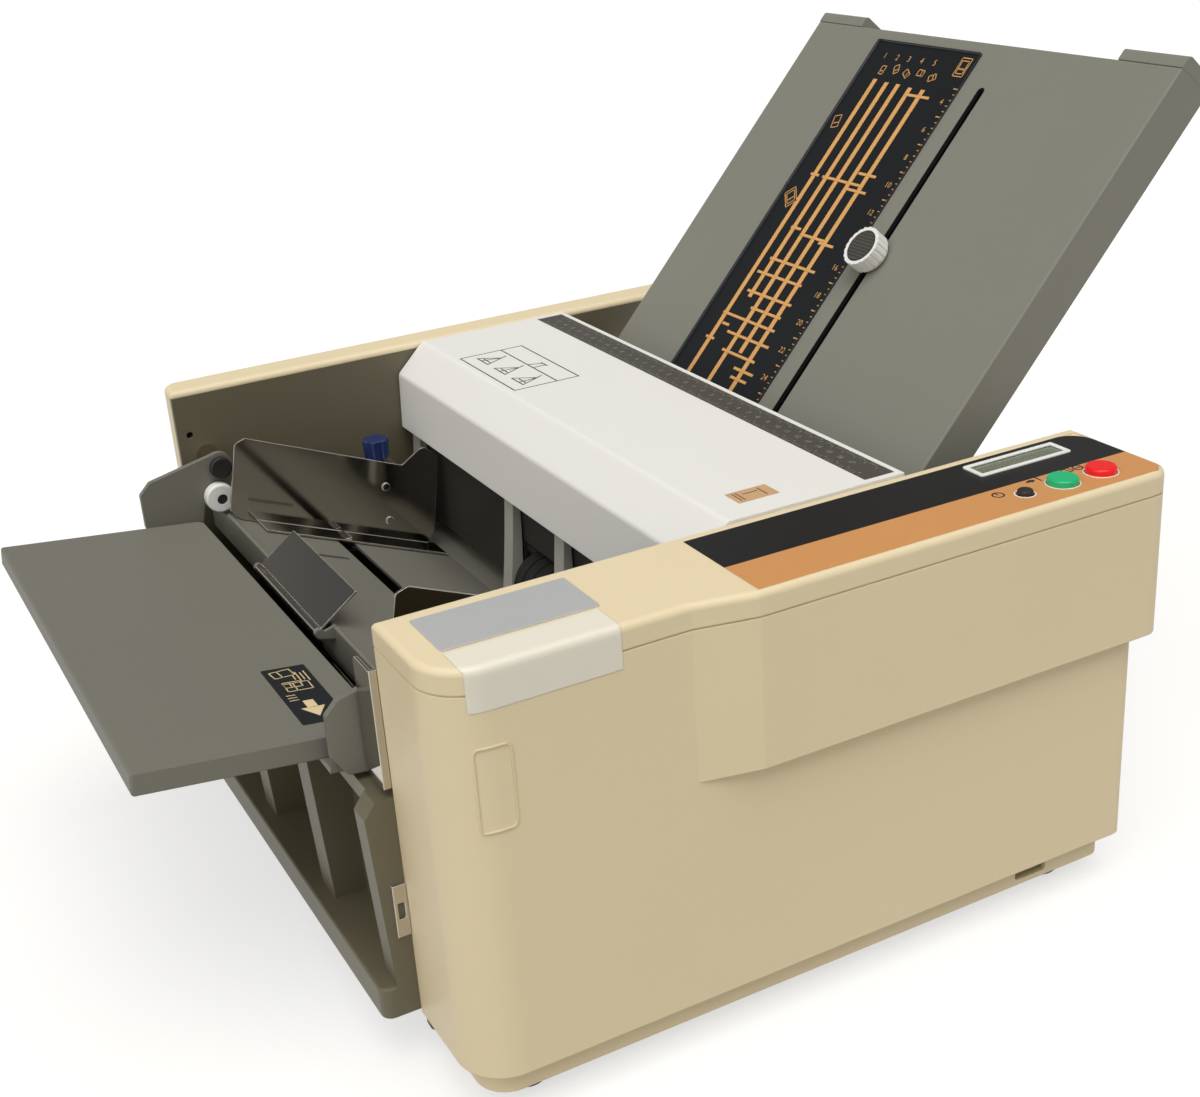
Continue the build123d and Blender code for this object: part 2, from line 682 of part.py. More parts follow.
with BuildPart() as power_inlet:
    with BuildSketch(Plane.YZ.offset(inlet_face_x)):
        with Locations((inlet_y, inlet_z)):
            RectangleRounded(inlet_size[0] + 8, inlet_size[1] + 4, 2)
    extrude(amount=-1.5)
    with BuildSketch(Plane.YZ.offset(housing_right)):
        with Locations((inlet_y, inlet_z)):
            Rectangle(*inlet_size)
    extrude(amount=-22)
    with BuildSketch(Plane.YZ.offset(inlet_face_x)):
        with Locations((inlet_y, inlet_z)):
            RectangleRounded(24, 16, 4)
    extrude(amount=-18, mode=Mode.SUBTRACT)
    with BuildSketch(Plane.YZ.offset(inlet_face_x - 18)):
        with Locations((inlet_y, inlet_z + 2), (inlet_y - 7, inlet_z - 2), (inlet_y + 7, inlet_z - 2)):
            Rectangle(2, 4)
    extrude(amount=14)
    with BuildSketch(Plane.YZ.offset(housing_right + 1)):
        with Locations((inlet_y, switch_z)):
            Rectangle(switch_size[0] + 4, switch_size[1] + 4)
            Rectangle(17, 11.4, mode=Mode.SUBTRACT)
    extrude(amount=-1)
    with BuildSketch(Plane.YZ.offset(housing_right)):
        with Locations((inlet_y, switch_z)):
            Rectangle(*switch_size)
    extrude(amount=-16)
    with BuildSketch(Plane.YZ.offset(housing_right)):
        with Locations((inlet_y, switch_z)):
            Rectangle(17, 11.4)
    extrude(amount=-12, mode=Mode.SUBTRACT)
    # sockets for the pins of the rocker
    with BuildSketch(Plane.XZ.offset(-(inlet_y + 9.5))):
        with Locations((rocker_pivot_x, switch_z)):
            Circle(1 + running)
    extrude(amount=19, mode=Mode.SUBTRACT)
power_inlet.part.label = "power_inlet"
export_step(power_inlet.part, "parts/power_inlet.step")

with BuildPart() as power_rocker:
    with BuildSketch(Plane.XZ.offset(-(inlet_y + 8))):
        with BuildLine():
            Polyline((rocker_pivot_x - 3, switch_z - 3.6), (rocker_pivot_x + 3.6, switch_z - 4.6),
                     (rocker_pivot_x + 3.2, switch_z), (rocker_pivot_x + 5.6, switch_z + 4.2),
                     (rocker_pivot_x - 3, switch_z + 3.6), close=True)
        make_face()
    extrude(amount=16)
    with BuildSketch(Plane.XZ.offset(-(inlet_y + 9.3))):
        with Locations((rocker_pivot_x, switch_z)):
            Circle(1)
    extrude(amount=18.6)
power_rocker.part.label = "power_rocker"
export_step(power_rocker.part, "parts/power_rocker.step")

# ---------------------------------------------------------------- rollers
roller_y = (paper_y - roller_length / 2, paper_y + roller_length / 2)
journal_y = (gear_y - gear_width, inner_rear_y + plate_thickness + 2.0)
pulley_r = 10.0
pulley_width = 7.0
pulley_y = rear_y - cover_wall - 3.0


def round_bar(centre, radius, y_from, y_to):
    """Solid round bar along Y, added to the part that is being built."""
    with BuildSketch(Plane.XZ.offset(-y_to)) as disc:
        with Locations(centre):
            Circle(radius)
    extrude(disc.sketch, amount=y_to - y_from)


roller_grooves = (-110.0, -40.0, 40.0, 110.0)
groove_width = 4.0
groove_depth = 0.8

for number, centre in enumerate((roller_1, roller_2, roller_3, roller_4), start=1):
    with BuildPart() as fold_roller:
        round_bar(centre, roller_r, *roller_y)
        for groove in roller_grooves:
            with BuildSketch(Plane.XZ.offset(-(paper_y + groove))):
                with Locations(centre):
                    Circle(roller_r + 1)
                    Circle(roller_r - groove_depth, mode=Mode.SUBTRACT)
            extrude(amount=groove_width, mode=Mode.SUBTRACT)
        round_bar(centre, journal_r, journal_y[0], pulley_y if number == 3 else journal_y[1])
        if number == 3:
            round_bar(centre, pulley_r, pulley_y - pulley_width, pulley_y)
    fold_roller.part.label = f"fold_roller_{number}"
    export_step(fold_roller.part, f"parts/fold_roller_{number}.step")

tyre_core_r = 14.0

with BuildPart() as feed_shaft:
    round_bar(feed_axis, journal_r, *journal_y)
    round_bar(feed_axis, tyre_core_r, paper_y - feed_width / 2 - 3, paper_y + feed_width / 2 + 3)
feed_shaft.part.label = "feed_shaft"
export_step(feed_shaft.part, "parts/feed_shaft.step")

with BuildPart() as feed_tyre:
    round_bar(feed_axis, feed_r, paper_y - feed_width / 2, paper_y + feed_width / 2)
    with BuildSketch(Plane.XZ.offset(-(paper_y + feed_width / 2))):
        with Locations(feed_axis):
            Circle(tyre_core_r)
    extrude(amount=feed_width, mode=Mode.SUBTRACT)
    for groove in (-10, 0, 10):
        with BuildSketch(Plane.XZ.offset(-(paper_y + groove + 1))):
            with Locations(feed_axis):
                Circle(feed_r + 1)
                Circle(feed_r - 1, mode=Mode.SUBTRACT)
        extrude(amount=2, mode=Mode.SUBTRACT)
feed_tyre.part.label = "feed_tyre"
export_step(feed_tyre.part, "parts/feed_tyre.step")

delivery_r = 12.0
wheel_offsets = (-120, -40, 40, 120)
wheel_width = 14.0

with BuildPart() as delivery_shaft:
    round_bar(delivery_axis, journal_r, inner_front_y - plate_thickness - 2, pulley_y)
    round_bar(delivery_axis, pulley_r, pulley_y - pulley_width, pulley_y)
delivery_shaft.part.label = "delivery_shaft"
export_step(delivery_shaft.part, "parts/delivery_shaft.step")

with BuildPart() as delivery_wheels:
    for offset_y in wheel_offsets:
        with BuildSketch(Plane.XZ.offset(-(paper_y + offset_y + wheel_width / 2))):
            with Locations(delivery_axis):
                Circle(delivery_r)
                Circle(journal_r, mode=Mode.SUBTRACT)
        extrude(amount=wheel_width)
    fillet(delivery_wheels.edges().filter_by(GeomType.CIRCLE).group_by(SortBy.RADIUS)[-1], 1)
delivery_wheels.part.label = "delivery_wheels"
export_step(delivery_wheels.part, "parts/delivery_wheels.step")

belt_sheet = 1.2
belt_clear = 0.3

belt_middle = ((roller_3[0] + delivery_axis[0]) / 2, (roller_3[1] + delivery_axis[1]) / 2)
belt_run = sqrt((delivery_axis[0] - roller_3[0]) ** 2 + (delivery_axis[1] - roller_3[1]) ** 2)
belt_tilt = degrees(atan2(delivery_axis[1] - roller_3[1], delivery_axis[0] - roller_3[0]))

with BuildPart() as delivery_belt:
    with BuildSketch(Plane.XZ.offset(-(pulley_y - 1))):
        with Locations(Location((belt_middle[0], belt_middle[1], 0), (0, 0, belt_tilt))):
            SlotCenterToCenter(belt_run, 2 * (pulley_r + belt_clear + belt_sheet))
            SlotCenterToCenter(belt_run, 2 * (pulley_r + belt_clear), mode=Mode.SUBTRACT)
    extrude(amount=pulley_width - 2)
delivery_belt.part.label = "delivery_belt"
export_step(delivery_belt.part, "parts/delivery_belt.step")

with BuildPart() as exit_guide:
    with BuildSketch(Plane.XZ.offset(-(paper_y + 164))):
        with BuildLine() as exit_line:
            Polyline((12, 49), (19, 34), (36, 27.5), (144, 44), (182, 46))
            fillet(exit_line.vertices().sort_by(Axis.X)[1:3], 10)
        trace(line_width=1.5)
    extrude(amount=328)
    with BuildSketch(Plane.XY.offset(plate_bottom + base_sheet)):
        with Locations((60, paper_y - 120), (60, paper_y + 120), (160, paper_y - 120), (160, paper_y + 120)):
            Rectangle(10, 20)
    extrude(until=Until.NEXT)
exit_guide.part.label = "exit_guide"
export_step(exit_guide.part, "parts/exit_guide.step")

# ---------------------------------------------------------------- feed table and guides
table_y = (inner_front_y + 0.5, inner_rear_y - 0.5)
table_width = table_y[1] - table_y[0]
curb_top = 168.5
curb_x = table_top_x - 2.5
table_slot_x = -109.5
table_slot_width = 11.0
table_slot_length = 322.0
curb_cut = 38.0                 # the curb is lower this far in from each side plate
flap_hinge = (-185.0, 165.5)
flap_tip = (-160.7, 183.1)
flap_y = (-12.0, 92.0)
flap_sheet = 1.2
flap_barrel_r = 2.6
flap_pin_r = 1.3

def table_top(x):
    """Height of the sloping table surface at x."""
    return table_knee[1] + (table_knee[0] - x) * tan(radians(table_slope))


half_sheet = table_sheet / 2

with BuildPart() as feed_table:
    with BuildSketch(Plane.XZ.offset(-table_y[1])):
        with BuildLine():
            Polyline((curb_x, 147), (curb_x, curb_top - half_sheet))
        trace(line_width=table_sheet)
        with BuildLine():
            Polyline((curb_x, table_top(curb_x) - half_sheet), (table_knee[0], table_knee[1] - half_sheet),
                     (table_end_x, table_knee[1] - 3.4 - half_sheet))
        trace(line_width=table_sheet)
    extrude(amount=table_width)
    fillet(feed_table.faces().sort_by(Axis.Z)[-1].edges().filter_by(Axis.Y), 1.1)
    # flanges that carry the table on the side plates
    for flange_y in (table_y[0] + table_sheet, table_y[1]):
        with BuildSketch(Plane.XZ.offset(-flange_y)):
            with BuildLine():
                Polyline((curb_x, table_top(curb_x) - 1.5), (table_knee[0], table_knee[1] - 1.5),
                         (table_knee[0], table_knee[1] - 14), (curb_x, 147), close=True)
            make_face()
        extrude(amount=table_sheet)
    # the curb is lower beside the cam wheels
    with BuildSketch(Plane.YZ.offset(curb_x - 4)):
        for side in (-1, 1):
            with Locations((paper_y + side * inner_width / 2, curb_top)):
                Rectangle(2 * curb_cut, 6)
    extrude(amount=8, mode=Mode.SUBTRACT)
    # ears and pin of the flap's hinge, on the outside of the curb
    for ear_y in (flap_y[0] - part_gap, flap_y[1] + part_gap + 2):
        with BuildSketch(Plane.XZ.offset(-ear_y)):
            with BuildLine():
                Polyline((curb_x, 160), (curb_x, 168), flap_hinge, (flap_hinge[0] - 1, flap_hinge[1] - 3), close=True)
            make_face()
            with Locations(flap_hinge):
                Circle(flap_barrel_r)
        extrude(amount=2)
    with BuildSketch(Plane.XZ.offset(-(flap_y[1] + 1))):
        with Locations(flap_hinge):
            Circle(flap_pin_r)
    extrude(amount=flap_y[1] - flap_y[0] + 2)
    # slot across the table for the shoes of the side guides
    with BuildSketch(Plane.XY.offset(curb_top)):
        with Locations((table_slot_x, paper_y)):
            SlotOverall(table_slot_length, table_slot_width, rotation=90)
    extrude(amount=-60, mode=Mode.SUBTRACT)
    # two small slots near the curb, where a finger lifts the last sheets
    with BuildSketch(Plane.XY.offset(curb_top)):
        with Locations((-135, paper_y - 95), (-135, paper_y + 95)):
            SlotOverall(30, 5)
    extrude(amount=-60, mode=Mode.SUBTRACT)
feed_table.part.label = "feed_table"
export_step(feed_table.part, "parts/feed_table.step")

shroud_x = -30.0
shroud_bottom = 122.0
shroud_sheet = 1.5
shroud_air = 1.3                # between the shroud and the hubs of the arms
shroud_top = arm_axis[1] - arm_hub_r - shroud_air - shroud_sheet

with BuildPart() as feed_shroud:
    with BuildSketch(Plane.YZ.offset(shroud_x)):
        with Locations((paper_y, (shroud_bottom + shroud_top) / 2)):
            Rectangle(inner_width - 3, shroud_top - shroud_bottom)
        with Locations((paper_y, shroud_bottom + 12)):
            Rectangle(feed_width + 16, 44, mode=Mode.SUBTRACT)
    extrude(amount=shroud_sheet)
    with BuildSketch(Plane.XY.offset(shroud_top)):
        with Locations((shroud_x + 15, paper_y)):
            Rectangle(30, inner_width - 3)
    extrude(amount=shroud_sheet)
    for rib_y in (paper_y - 95, paper_y + 95):
        with BuildSketch(Plane.XZ.offset(-rib_y)):
            with BuildLine():
                Polyline((shroud_x + 1, shroud_top), (shroud_x + 26, shroud_top),
                         (shroud_x + 1, shroud_top - 30), close=True)
            make_face()
        extrude(amount=2)
feed_shroud.part.label = "feed_shroud"
export_step(feed_shroud.part, "parts/feed_shroud.step")

arm_width = 12.0
arm_offsets = (-180, -34, 34, 180)
arm_bottom = 121.0
arm_neck = 10.0                 # from the shaft down to the end of the front curve
arm_middle = (arm_axis[1] + arm_bottom) / 2

with BuildPart() as hold_down_arms:
    round_bar(arm_axis, journal_r, inner_front_y - plate_thickness - 2, inner_rear_y + plate_thickness + 2)
    for offset_y in arm_offsets:
        with BuildSketch(Plane.XZ.offset(-(paper_y + offset_y + arm_width / 2))):
            with BuildLine():
                ThreePointArc((arm_axis[0] - arm_hub_r, arm_axis[1]), (arm_axis[0] - 10.5, arm_middle - 0.5),
                              (arm_axis[0] - 15, arm_bottom))
                Line((arm_axis[0] - 15, arm_bottom), (arm_axis[0] - 7.5, arm_bottom - 1.5))
                ThreePointArc((arm_axis[0] - 7.5, arm_bottom - 1.5), (arm_axis[0] - 4.2, arm_middle - 2.5),
                              (arm_axis[0] - 4, arm_axis[1] - arm_neck))
                Line((arm_axis[0] - 4, arm_axis[1] - arm_neck), (arm_axis[0], arm_axis[1]))
                Line((arm_axis[0], arm_axis[1]), (arm_axis[0] - arm_hub_r, arm_axis[1]))
            make_face()
            with Locations(arm_axis):
                Circle(arm_hub_r)
        extrude(amount=arm_width)
hold_down_arms.part.label = "hold_down_arms"
export_step(hold_down_arms.part, "parts/hold_down_arms.step")

guide_left_foot = -168.0
guide_right_foot = -48.0
guide_foot_width = 20.0
guide_lift = 0.8
block_x = (-82.0, -62.0)
block_top = cover_bottom_z - 9.0
block_width = 16.0
knob_stem_top = block_top + 5.0
shoe_length = 14.0
keeper_drop = 3.4
knob_head_height = 13.0
guide_top_z = cover_bottom_z + 32.0


def guide_profile():
    """Outline of a side guide in the XZ plane: sloping top edge, notch and raised ear."""
    with BuildSketch() as profile:
        with BuildLine():
            Polyline((guide_left_foot, table_top(guide_left_foot) + guide_lift),
                     (guide_left_foot - 8, table_top(guide_left_foot) + 9),
                     (guide_left_foot + 1, guide_top_z - 2.5), (guide_left_foot + 8, guide_top_z),
                     (guide_right_foot - 11, cover_bottom_z - 10), (guide_right_foot + 5, cover_bottom_z),
                     (guide_right_foot + 14.5, cover_bottom_z - 10),
                     (guide_right_foot + 6.5, table_top(guide_right_foot) + 9.5),
                     (guide_right_foot, table_top(guide_right_foot) + guide_lift), close=True)
        make_face()
        fillet(profile.vertices().filter_by_position(Axis.Y, cover_bottom_z - 1, cover_bottom_z + 1), 5)
        fillet(profile.vertices().filter_by_position(Axis.Y, guide_top_z - 3, guide_top_z + 1), 3)
    return profile.sketch


for guide_name, side, reach in (("rear", 1, rear_guide_reach), ("front", -1, front_guide_reach)):
    face_y = paper_y + side * reach
    back_y = face_y + side * guide_sheet
    knob_y = back_y + side * block_width / 2
    knob_x = (block_x[0] + block_x[1]) / 2
    with BuildPart() as side_guide:
        with BuildSketch(Plane.XZ.offset(-face_y)):
            add(guide_profile())
        extrude(amount=-side * guide_sheet)
        # foot flange that lies on the table
        with BuildSketch(Plane.XZ.offset(-back_y)):
            with BuildLine():
                Polyline((guide_left_foot + 8, table_top(guide_left_foot + 8) + guide_lift),
                         (guide_left_foot + 8, table_top(guide_left_foot + 8) + guide_lift + 1.3),
                         (guide_right_foot + 6, table_top(guide_right_foot + 6) + guide_lift + 1.3),
                         (guide_right_foot + 6, table_top(guide_right_foot + 6) + guide_lift), close=True)
            make_face()
        extrude(amount=side * (guide_foot_width + guide_sheet))
        # block behind the guide, with the threaded stem of the lock knob
        with BuildSketch(Plane.XZ.offset(-back_y)):
            with BuildLine():
                Polyline((block_x[0], table_top(block_x[0]) + guide_lift), (block_x[0], block_top),
                         (block_x[1], block_top), (block_x[1], table_top(block_x[1]) + guide_lift), close=True)
            make_face()
        extrude(amount=-side * block_width)
        # stud on which the lock knob turns
        with BuildSketch(Plane.XY.offset(block_top)):
            with Locations((knob_x, knob_y)):
                Circle(shaft_r)
        extrude(amount=knob_stem_top + 6 - block_top)
        # shoe through the slot of the table, and the plate that holds it down
        shoe_y = face_y - side * (shoe_length / 2 + 3)
        with BuildSketch(Plane.XY.offset(table_top(table_slot_x) + 2)):
            with Locations((table_slot_x, shoe_y)):
                Rectangle(table_slot_width - 2, shoe_length)
        extrude(amount=-9)
        with BuildSketch(Plane.XZ.offset(-(shoe_y + shoe_length / 2))):
            with BuildLine():
                Polyline((table_slot_x - 9, table_top(table_slot_x - 9) - keeper_drop),
                         (table_slot_x + 9, table_top(table_slot_x + 9) - keeper_drop),
                         (table_slot_x + 9, table_top(table_slot_x + 9) - keeper_drop - 2),
                         (table_slot_x - 9, table_top(table_slot_x - 9) - keeper_drop - 2), close=True)
            make_face()
        extrude(amount=shoe_length)
        # screws that hold the guide to its block
        with BuildSketch(Plane.XZ.offset(-face_y)):
            with Locations((knob_x, block_top - 13), (knob_x, 139)):
                Circle(2.6)
        extrude(amount=side * 1.2)
    side_guide.part.label = f"side_guide_{guide_name}"
    export_step(side_guide.part, f"parts/side_guide_{guide_name}.step")

    with BuildPart() as guide_knob:
        with BuildSketch(Plane.XY.offset(block_top + 0.4)):
            with Locations((knob_x, knob_y)):
                Circle(5)
        extrude(amount=knob_stem_top - block_top)
        with BuildSketch(Plane.XY.offset(knob_stem_top)):
            with Locations((knob_x, knob_y)):
                Circle(6.8)
                with PolarLocations(6.4, 6):
                    Circle(1.9)
        extrude(amount=knob_head_height, taper=-3)
        fillet(guide_knob.faces().sort_by(Axis.Z)[-1].edges(), 0.8)
        with BuildSketch(Plane.XY.offset(block_top)):
            with Locations((knob_x, knob_y)):
                Circle(shaft_r + running)
        extrude(amount=knob_stem_top + 7 - block_top, mode=Mode.SUBTRACT)
    guide_knob.part.label = f"guide_knob_{guide_name}"
    export_step(guide_knob.part, f"parts/guide_knob_{guide_name}.step")

# ---------------------------------------------------------------- flap, tray and front frame

with BuildPart() as paper_flap:
    with BuildSketch(Plane.XZ.offset(-flap_y[1])):
        with BuildLine():
            Polyline(flap_hinge, flap_tip)
        trace(line_width=flap_sheet)
    extrude(amount=flap_y[1] - flap_y[0])
    fillet(paper_flap.faces().sort_by(Axis.Z)[-1].edges().group_by(SortBy.LENGTH)[0], 0.5)
    round_bar(flap_hinge, flap_barrel_r, *flap_y)
    with BuildSketch(Plane.XZ.offset(-flap_y[1])):
        with Locations(flap_hinge):
            Circle(flap_pin_r + running)
    extrude(amount=flap_y[1] - flap_y[0], mode=Mode.SUBTRACT)
paper_flap.part.label = "paper_flap"
export_step(paper_flap.part, "parts/paper_flap.step")

tray_run = (tray_right - tray_left) / cos(radians(tray_slope))
tray_plane = Plane(origin=(tray_right, paper_y, tray_right_z),
                   x_dir=(-cos(radians(tray_slope)), 0, sin(radians(tray_slope))),
                   z_dir=(sin(radians(tray_slope)), 0, cos(radians(tray_slope))))
tray_wall = 2.5

with BuildPart() as feed_tray:
    with BuildSketch(tray_plane):
        with Locations((tray_run / 2, 0)):
            Rectangle(tray_run, tray_width)
        fillet(vertices().group_by(Axis.X)[0], 5)
    extrude(amount=-tray_depth)
    fillet(feed_tray.faces().sort_by(Axis.Z)[-1].edges(), 1.8)
    with BuildSketch(tray_plane.offset(-tray_wall)):
        with Locations((tray_run / 2, 0)):
            Rectangle(tray_run - 2 * tray_wall, tray_width - 2 * tray_wall)
    extrude(amount=-tray_depth, mode=Mode.SUBTRACT)
    with BuildSketch(tray_plane.offset(-tray_wall)):
        for rib in (-90, -30, 30, 90):
            with Locations((tray_run / 2, rib)):
                Rectangle(tray_run - 2 * tray_wall + 1, 2)
    extrude(amount=-(tray_depth - tray_wall - 3))
feed_tray.part.label = "feed_tray"
export_step(feed_tray.part, "parts/feed_tray.step")

bracket_gap = 10.5
bracket_boss_r = 9.0

with BuildPart() as tray_brackets:
    for side in (1, -1):
        cheek_y = paper_y + side * (tray_width / 2 + bracket_gap)
        with BuildSketch(Plane.XZ.offset(-cheek_y)) as cheek:
            with BuildLine():
                Polyline((-176, 204.6), (-219, 195), (-226, 188), (-226, 166), (-219, 155), (-199, 152.8),
                         (-190, 160), (-184, 182), (-168, 190), close=True)
            make_face()
            fillet(cheek.vertices().filter_by_position(Axis.X, -227, -200), 3)
            with Locations(tray_pivot):
                Circle(bracket_boss_r)
                Circle(pin_r + running, mode=Mode.SUBTRACT)
        extrude(amount=-side * bracket_sheet)
        # shelf that carries the end of the tray
        with BuildSketch(tray_plane.offset(-tray_depth - 3)):
            with Locations((19, -side * (tray_width / 2 + bracket_gap / 2 - 9))):
                Rectangle(26, bracket_gap + 18.2)
        extrude(amount=3)
tray_brackets.part.label = "tray_brackets"
export_step(tray_brackets.part, "parts/tray_brackets.step")

with BuildPart() as pivot_pins:
    for side in (1, -1):
        wall_y = inner_rear_y if side > 0 else inner_front_y
        cheek_y = paper_y + side * (tray_width / 2 + bracket_gap + bracket_sheet)
        cap_y = paper_y + side * (tray_width / 2 + bracket_gap)
        with BuildSketch(Plane.XZ.offset(-wall_y)):
            with Locations(tray_pivot):
                Circle(7)
        extrude(amount=side * (abs(wall_y - cheek_y) - 0.4))
        with BuildSketch(Plane.XZ.offset(-wall_y)):
            with Locations(tray_pivot):
                Circle(pin_r)
        extrude(amount=side * (abs(wall_y - cap_y) + 1))
        with BuildSketch(Plane.XZ.offset(-(cap_y - side * 0.4))):
            with Locations(tray_pivot):
                Circle(6.5)
        extrude(amount=side * 4)
        with BuildSketch(Plane.XZ.offset(-wall_y)):
            with Locations(cover_pivot):
                Circle(3)
        extrude(amount=side * 6)
pivot_pins.part.label = "pivot_pins"
export_step(pivot_pins.part, "parts/pivot_pins.step")

cam_point = (-178.0, 177.5)
cam_stub_r = 3.5
cam_r = 9.3
cam_width = 8.0

with BuildPart() as cam_wheels:
    for side, wall_y in ((1, inner_rear_y), (-1, inner_front_y)):
        # the wheel stands inside the bracket, on a stub from the side plate
        wheel_y = paper_y + side * (tray_width / 2 + bracket_gap - part_gap)
        with BuildSketch(Plane.XZ.offset(-wall_y)):
            with Locations(cam_point):
                Circle(cam_stub_r)
        extrude(amount=side * abs(wall_y - wheel_y))
        with BuildSketch(Plane.XZ.offset(-wheel_y)):
            with Locations(cam_point):
                Circle(cam_r)
        extrude(amount=side * cam_width)
        with BuildSketch(Plane.XZ.offset(-(wheel_y - side * cam_width))):
            with Locations((cam_point[0] + 0.8, cam_point[1] - 0.8)):
                Circle(3.4)
        extrude(amount=-side * 3, mode=Mode.SUBTRACT)
    fillet(cam_wheels.edges().filter_by(GeomType.CIRCLE).group_by(SortBy.RADIUS)[-1], 1.2)
cam_wheels.part.label = "cam_wheels"
export_step(cam_wheels.part, "parts/cam_wheels.step")

frame_face_x = -225.0
frame_back_x = -196.5           # inside of the closing panel
frame_bottom = plate_bottom + base_flange
frame_top = 150.0
frame_sheet = 2.5
beam_height = 18.0
beam_corner_r = 6.0
frame_y = (inner_front_y, inner_rear_y)
frame_width = frame_y[1] - frame_y[0]
post_pitch = 98.0
post_width = 20.0
post_top_depth = 25.0
post_foot_depth = 20.0
end_post_width = 14.0
head_rail = (18.0, 10.0)        # depth and height

with BuildPart() as front_frame:
    # beam along the desk; its top is a shelf between the posts
    with BuildSketch(Plane.XY.offset(frame_bottom)):
        with Locations(((frame_face_x + frame_back_x) / 2, paper_y)):
            Rectangle(frame_back_x - frame_face_x, frame_width)
        fillet(vertices().group_by(Axis.X)[0], beam_corner_r)
    extrude(amount=beam_height)
    fillet(front_frame.faces().sort_by(Axis.X)[0].edges().filter_by(Axis.Y), 1.5)
    # closing panel and head rail
    with BuildSketch(Plane.YZ.offset(frame_back_x - frame_sheet)):
        with Locations((paper_y, (frame_bottom + frame_top) / 2)):
            Rectangle(frame_width, frame_top - frame_bottom)
    extrude(amount=frame_sheet)
    with BuildSketch(Plane.YZ.offset(frame_back_x - head_rail[0])):
        with Locations((paper_y, frame_top - head_rail[1] / 2)):
            Rectangle(frame_width, head_rail[1])
    extrude(amount=head_rail[0])
    # posts that taper towards the beam
    end_shift = (frame_width - end_post_width) / 2
    for shift, width in ((-end_shift, end_post_width), (-post_pitch, post_width), (0, post_width),
                         (post_pitch, post_width), (end_shift, end_post_width)):
        with BuildSketch(Plane.XZ.offset(-(paper_y + shift + width / 2))):
            with BuildLine():
                Polyline((frame_back_x - post_top_depth, frame_top - 8), (frame_back_x - post_top_depth + 6, frame_top),
                         (frame_back_x - 1, frame_top), (frame_back_x - 1, frame_bottom + beam_height - 2),
                         (frame_back_x - post_foot_depth, frame_bottom + beam_height - 2), close=True)
            make_face()
        extrude(amount=width)
    # lugs on the side plates
    for lug_y in (frame_y[0], frame_y[1] - 4):
        with BuildSketch(Plane.XZ.offset(-(lug_y + 4))):
            with Locations((frame_back_x + 6, 60), (frame_back_x + 6, 120)):
                Rectangle(24, 16)
        extrude(amount=4)
front_frame.part.label = "front_frame"
export_step(front_frame.part, "parts/front_frame.step")

guard_y = (inner_front_y + 1.0, inner_front_y + 21.0)
guard_x = -210.0
guard_z = (155.0, 217.0)
guard_sheet = 1.5

with BuildPart() as guard_plate:
    with BuildSketch(Plane.YZ.offset(guard_x)):
        with Locations(((guard_y[0] + guard_y[1]) / 2, (guard_z[0] + guard_z[1]) / 2)):
            Rectangle(guard_y[1] - guard_y[0], guard_z[1] - guard_z[0])
        fillet(vertices().group_by(Axis.Z)[-1], 3)
    extrude(amount=guard_sheet)
    # side flange screwed to the front side plate
    with BuildSketch(Plane.XZ.offset(-(guard_y[0] + guard_sheet - 0.5))):
        with Locations(((guard_x + plate_left) / 2 + 6, (guard_z[0] + guard_z[1]) / 2)):
            Rectangle(plate_left - guard_x + 12, guard_z[1] - guard_z[0])
    extrude(amount=guard_sheet)
    # latch tab with a square eye, lower on the same edge
    with BuildSketch(Plane.XZ.offset(-inner_front_y)):
        with Locations((housing_left - 3.8, 89)):
            Rectangle(7, 29)
            Rectangle(3.5, 9, mode=Mode.SUBTRACT)
    extrude(amount=guard_sheet)
guard_plate.part.label = "guard_plate"
export_step(guard_plate.part, "parts/guard_plate.step")

# ---------------------------------------------------------------- upper fold plate
slope_1 = radians(first_angle)
fold_plane = Plane(origin=(fold_tip[0], paper_y, fold_tip[1]),
                   x_dir=(-cos(slope_1), 0, -sin(slope_1)),
                   z_dir=(-sin(slope_1), 0, cos(slope_1)))
fold_normal = Axis(fold_plane.origin, fold_plane.z_dir)
skin = 3.0
skirt = 3.0
slot_v = paper_y - stop_slot_y
slot_range = (30.0, 335.0)
channel_top = -skin
channel_bottom = -skin - channel_gap

with BuildPart() as upper_fold_plate:
    with BuildSketch(fold_plane):
        with Locations((fold_length / 2, 0)):
            Rectangle(fold_length, fold_width)
    extrude(amount=-fold_depth)
    with BuildSketch(fold_plane.offset(-skin)):
        with Locations((fold_length / 2 + skirt, 0)):
            Rectangle(fold_length, fold_width - 2 * skirt)
    extrude(amount=-fold_depth, mode=Mode.SUBTRACT)
    fillet(upper_fold_plate.faces().filter_by(fold_plane).sort_by(fold_normal)[-1].edges(), 1.2)
    with BuildSketch(fold_plane):
        with Locations(((slot_range[0] + slot_range[1]) / 2, slot_v)):
            SlotOverall(slot_range[1] - slot_range[0], stop_slot_width)
    extrude(amount=-skin, mode=Mode.SUBTRACT)
    # open-ended notches that drop onto the studs of the side plates
    for end in (-1, 1):
        with BuildSketch(fold_plane.offset(-stud_drop)):
            for along in stud_u:
                with Locations((along, end * (fold_width - skirt) / 2)):
                    Rectangle(2 * stud_r + 1, skirt + 2)
        extrude(amount=-fold_depth, mode=Mode.SUBTRACT)
        for along in stud_u:
            notch_plane = Plane(origin=fold_plane.from_local_coords((along, end * fold_width / 2, -stud_drop)),
                                x_dir=fold_plane.x_dir, z_dir=fold_plane.y_dir)
            with BuildSketch(notch_plane):
                Circle(stud_r + 0.5)
            extrude(amount=4, both=True, mode=Mode.SUBTRACT)
upper_fold_plate.part.label = "upper_fold_plate"
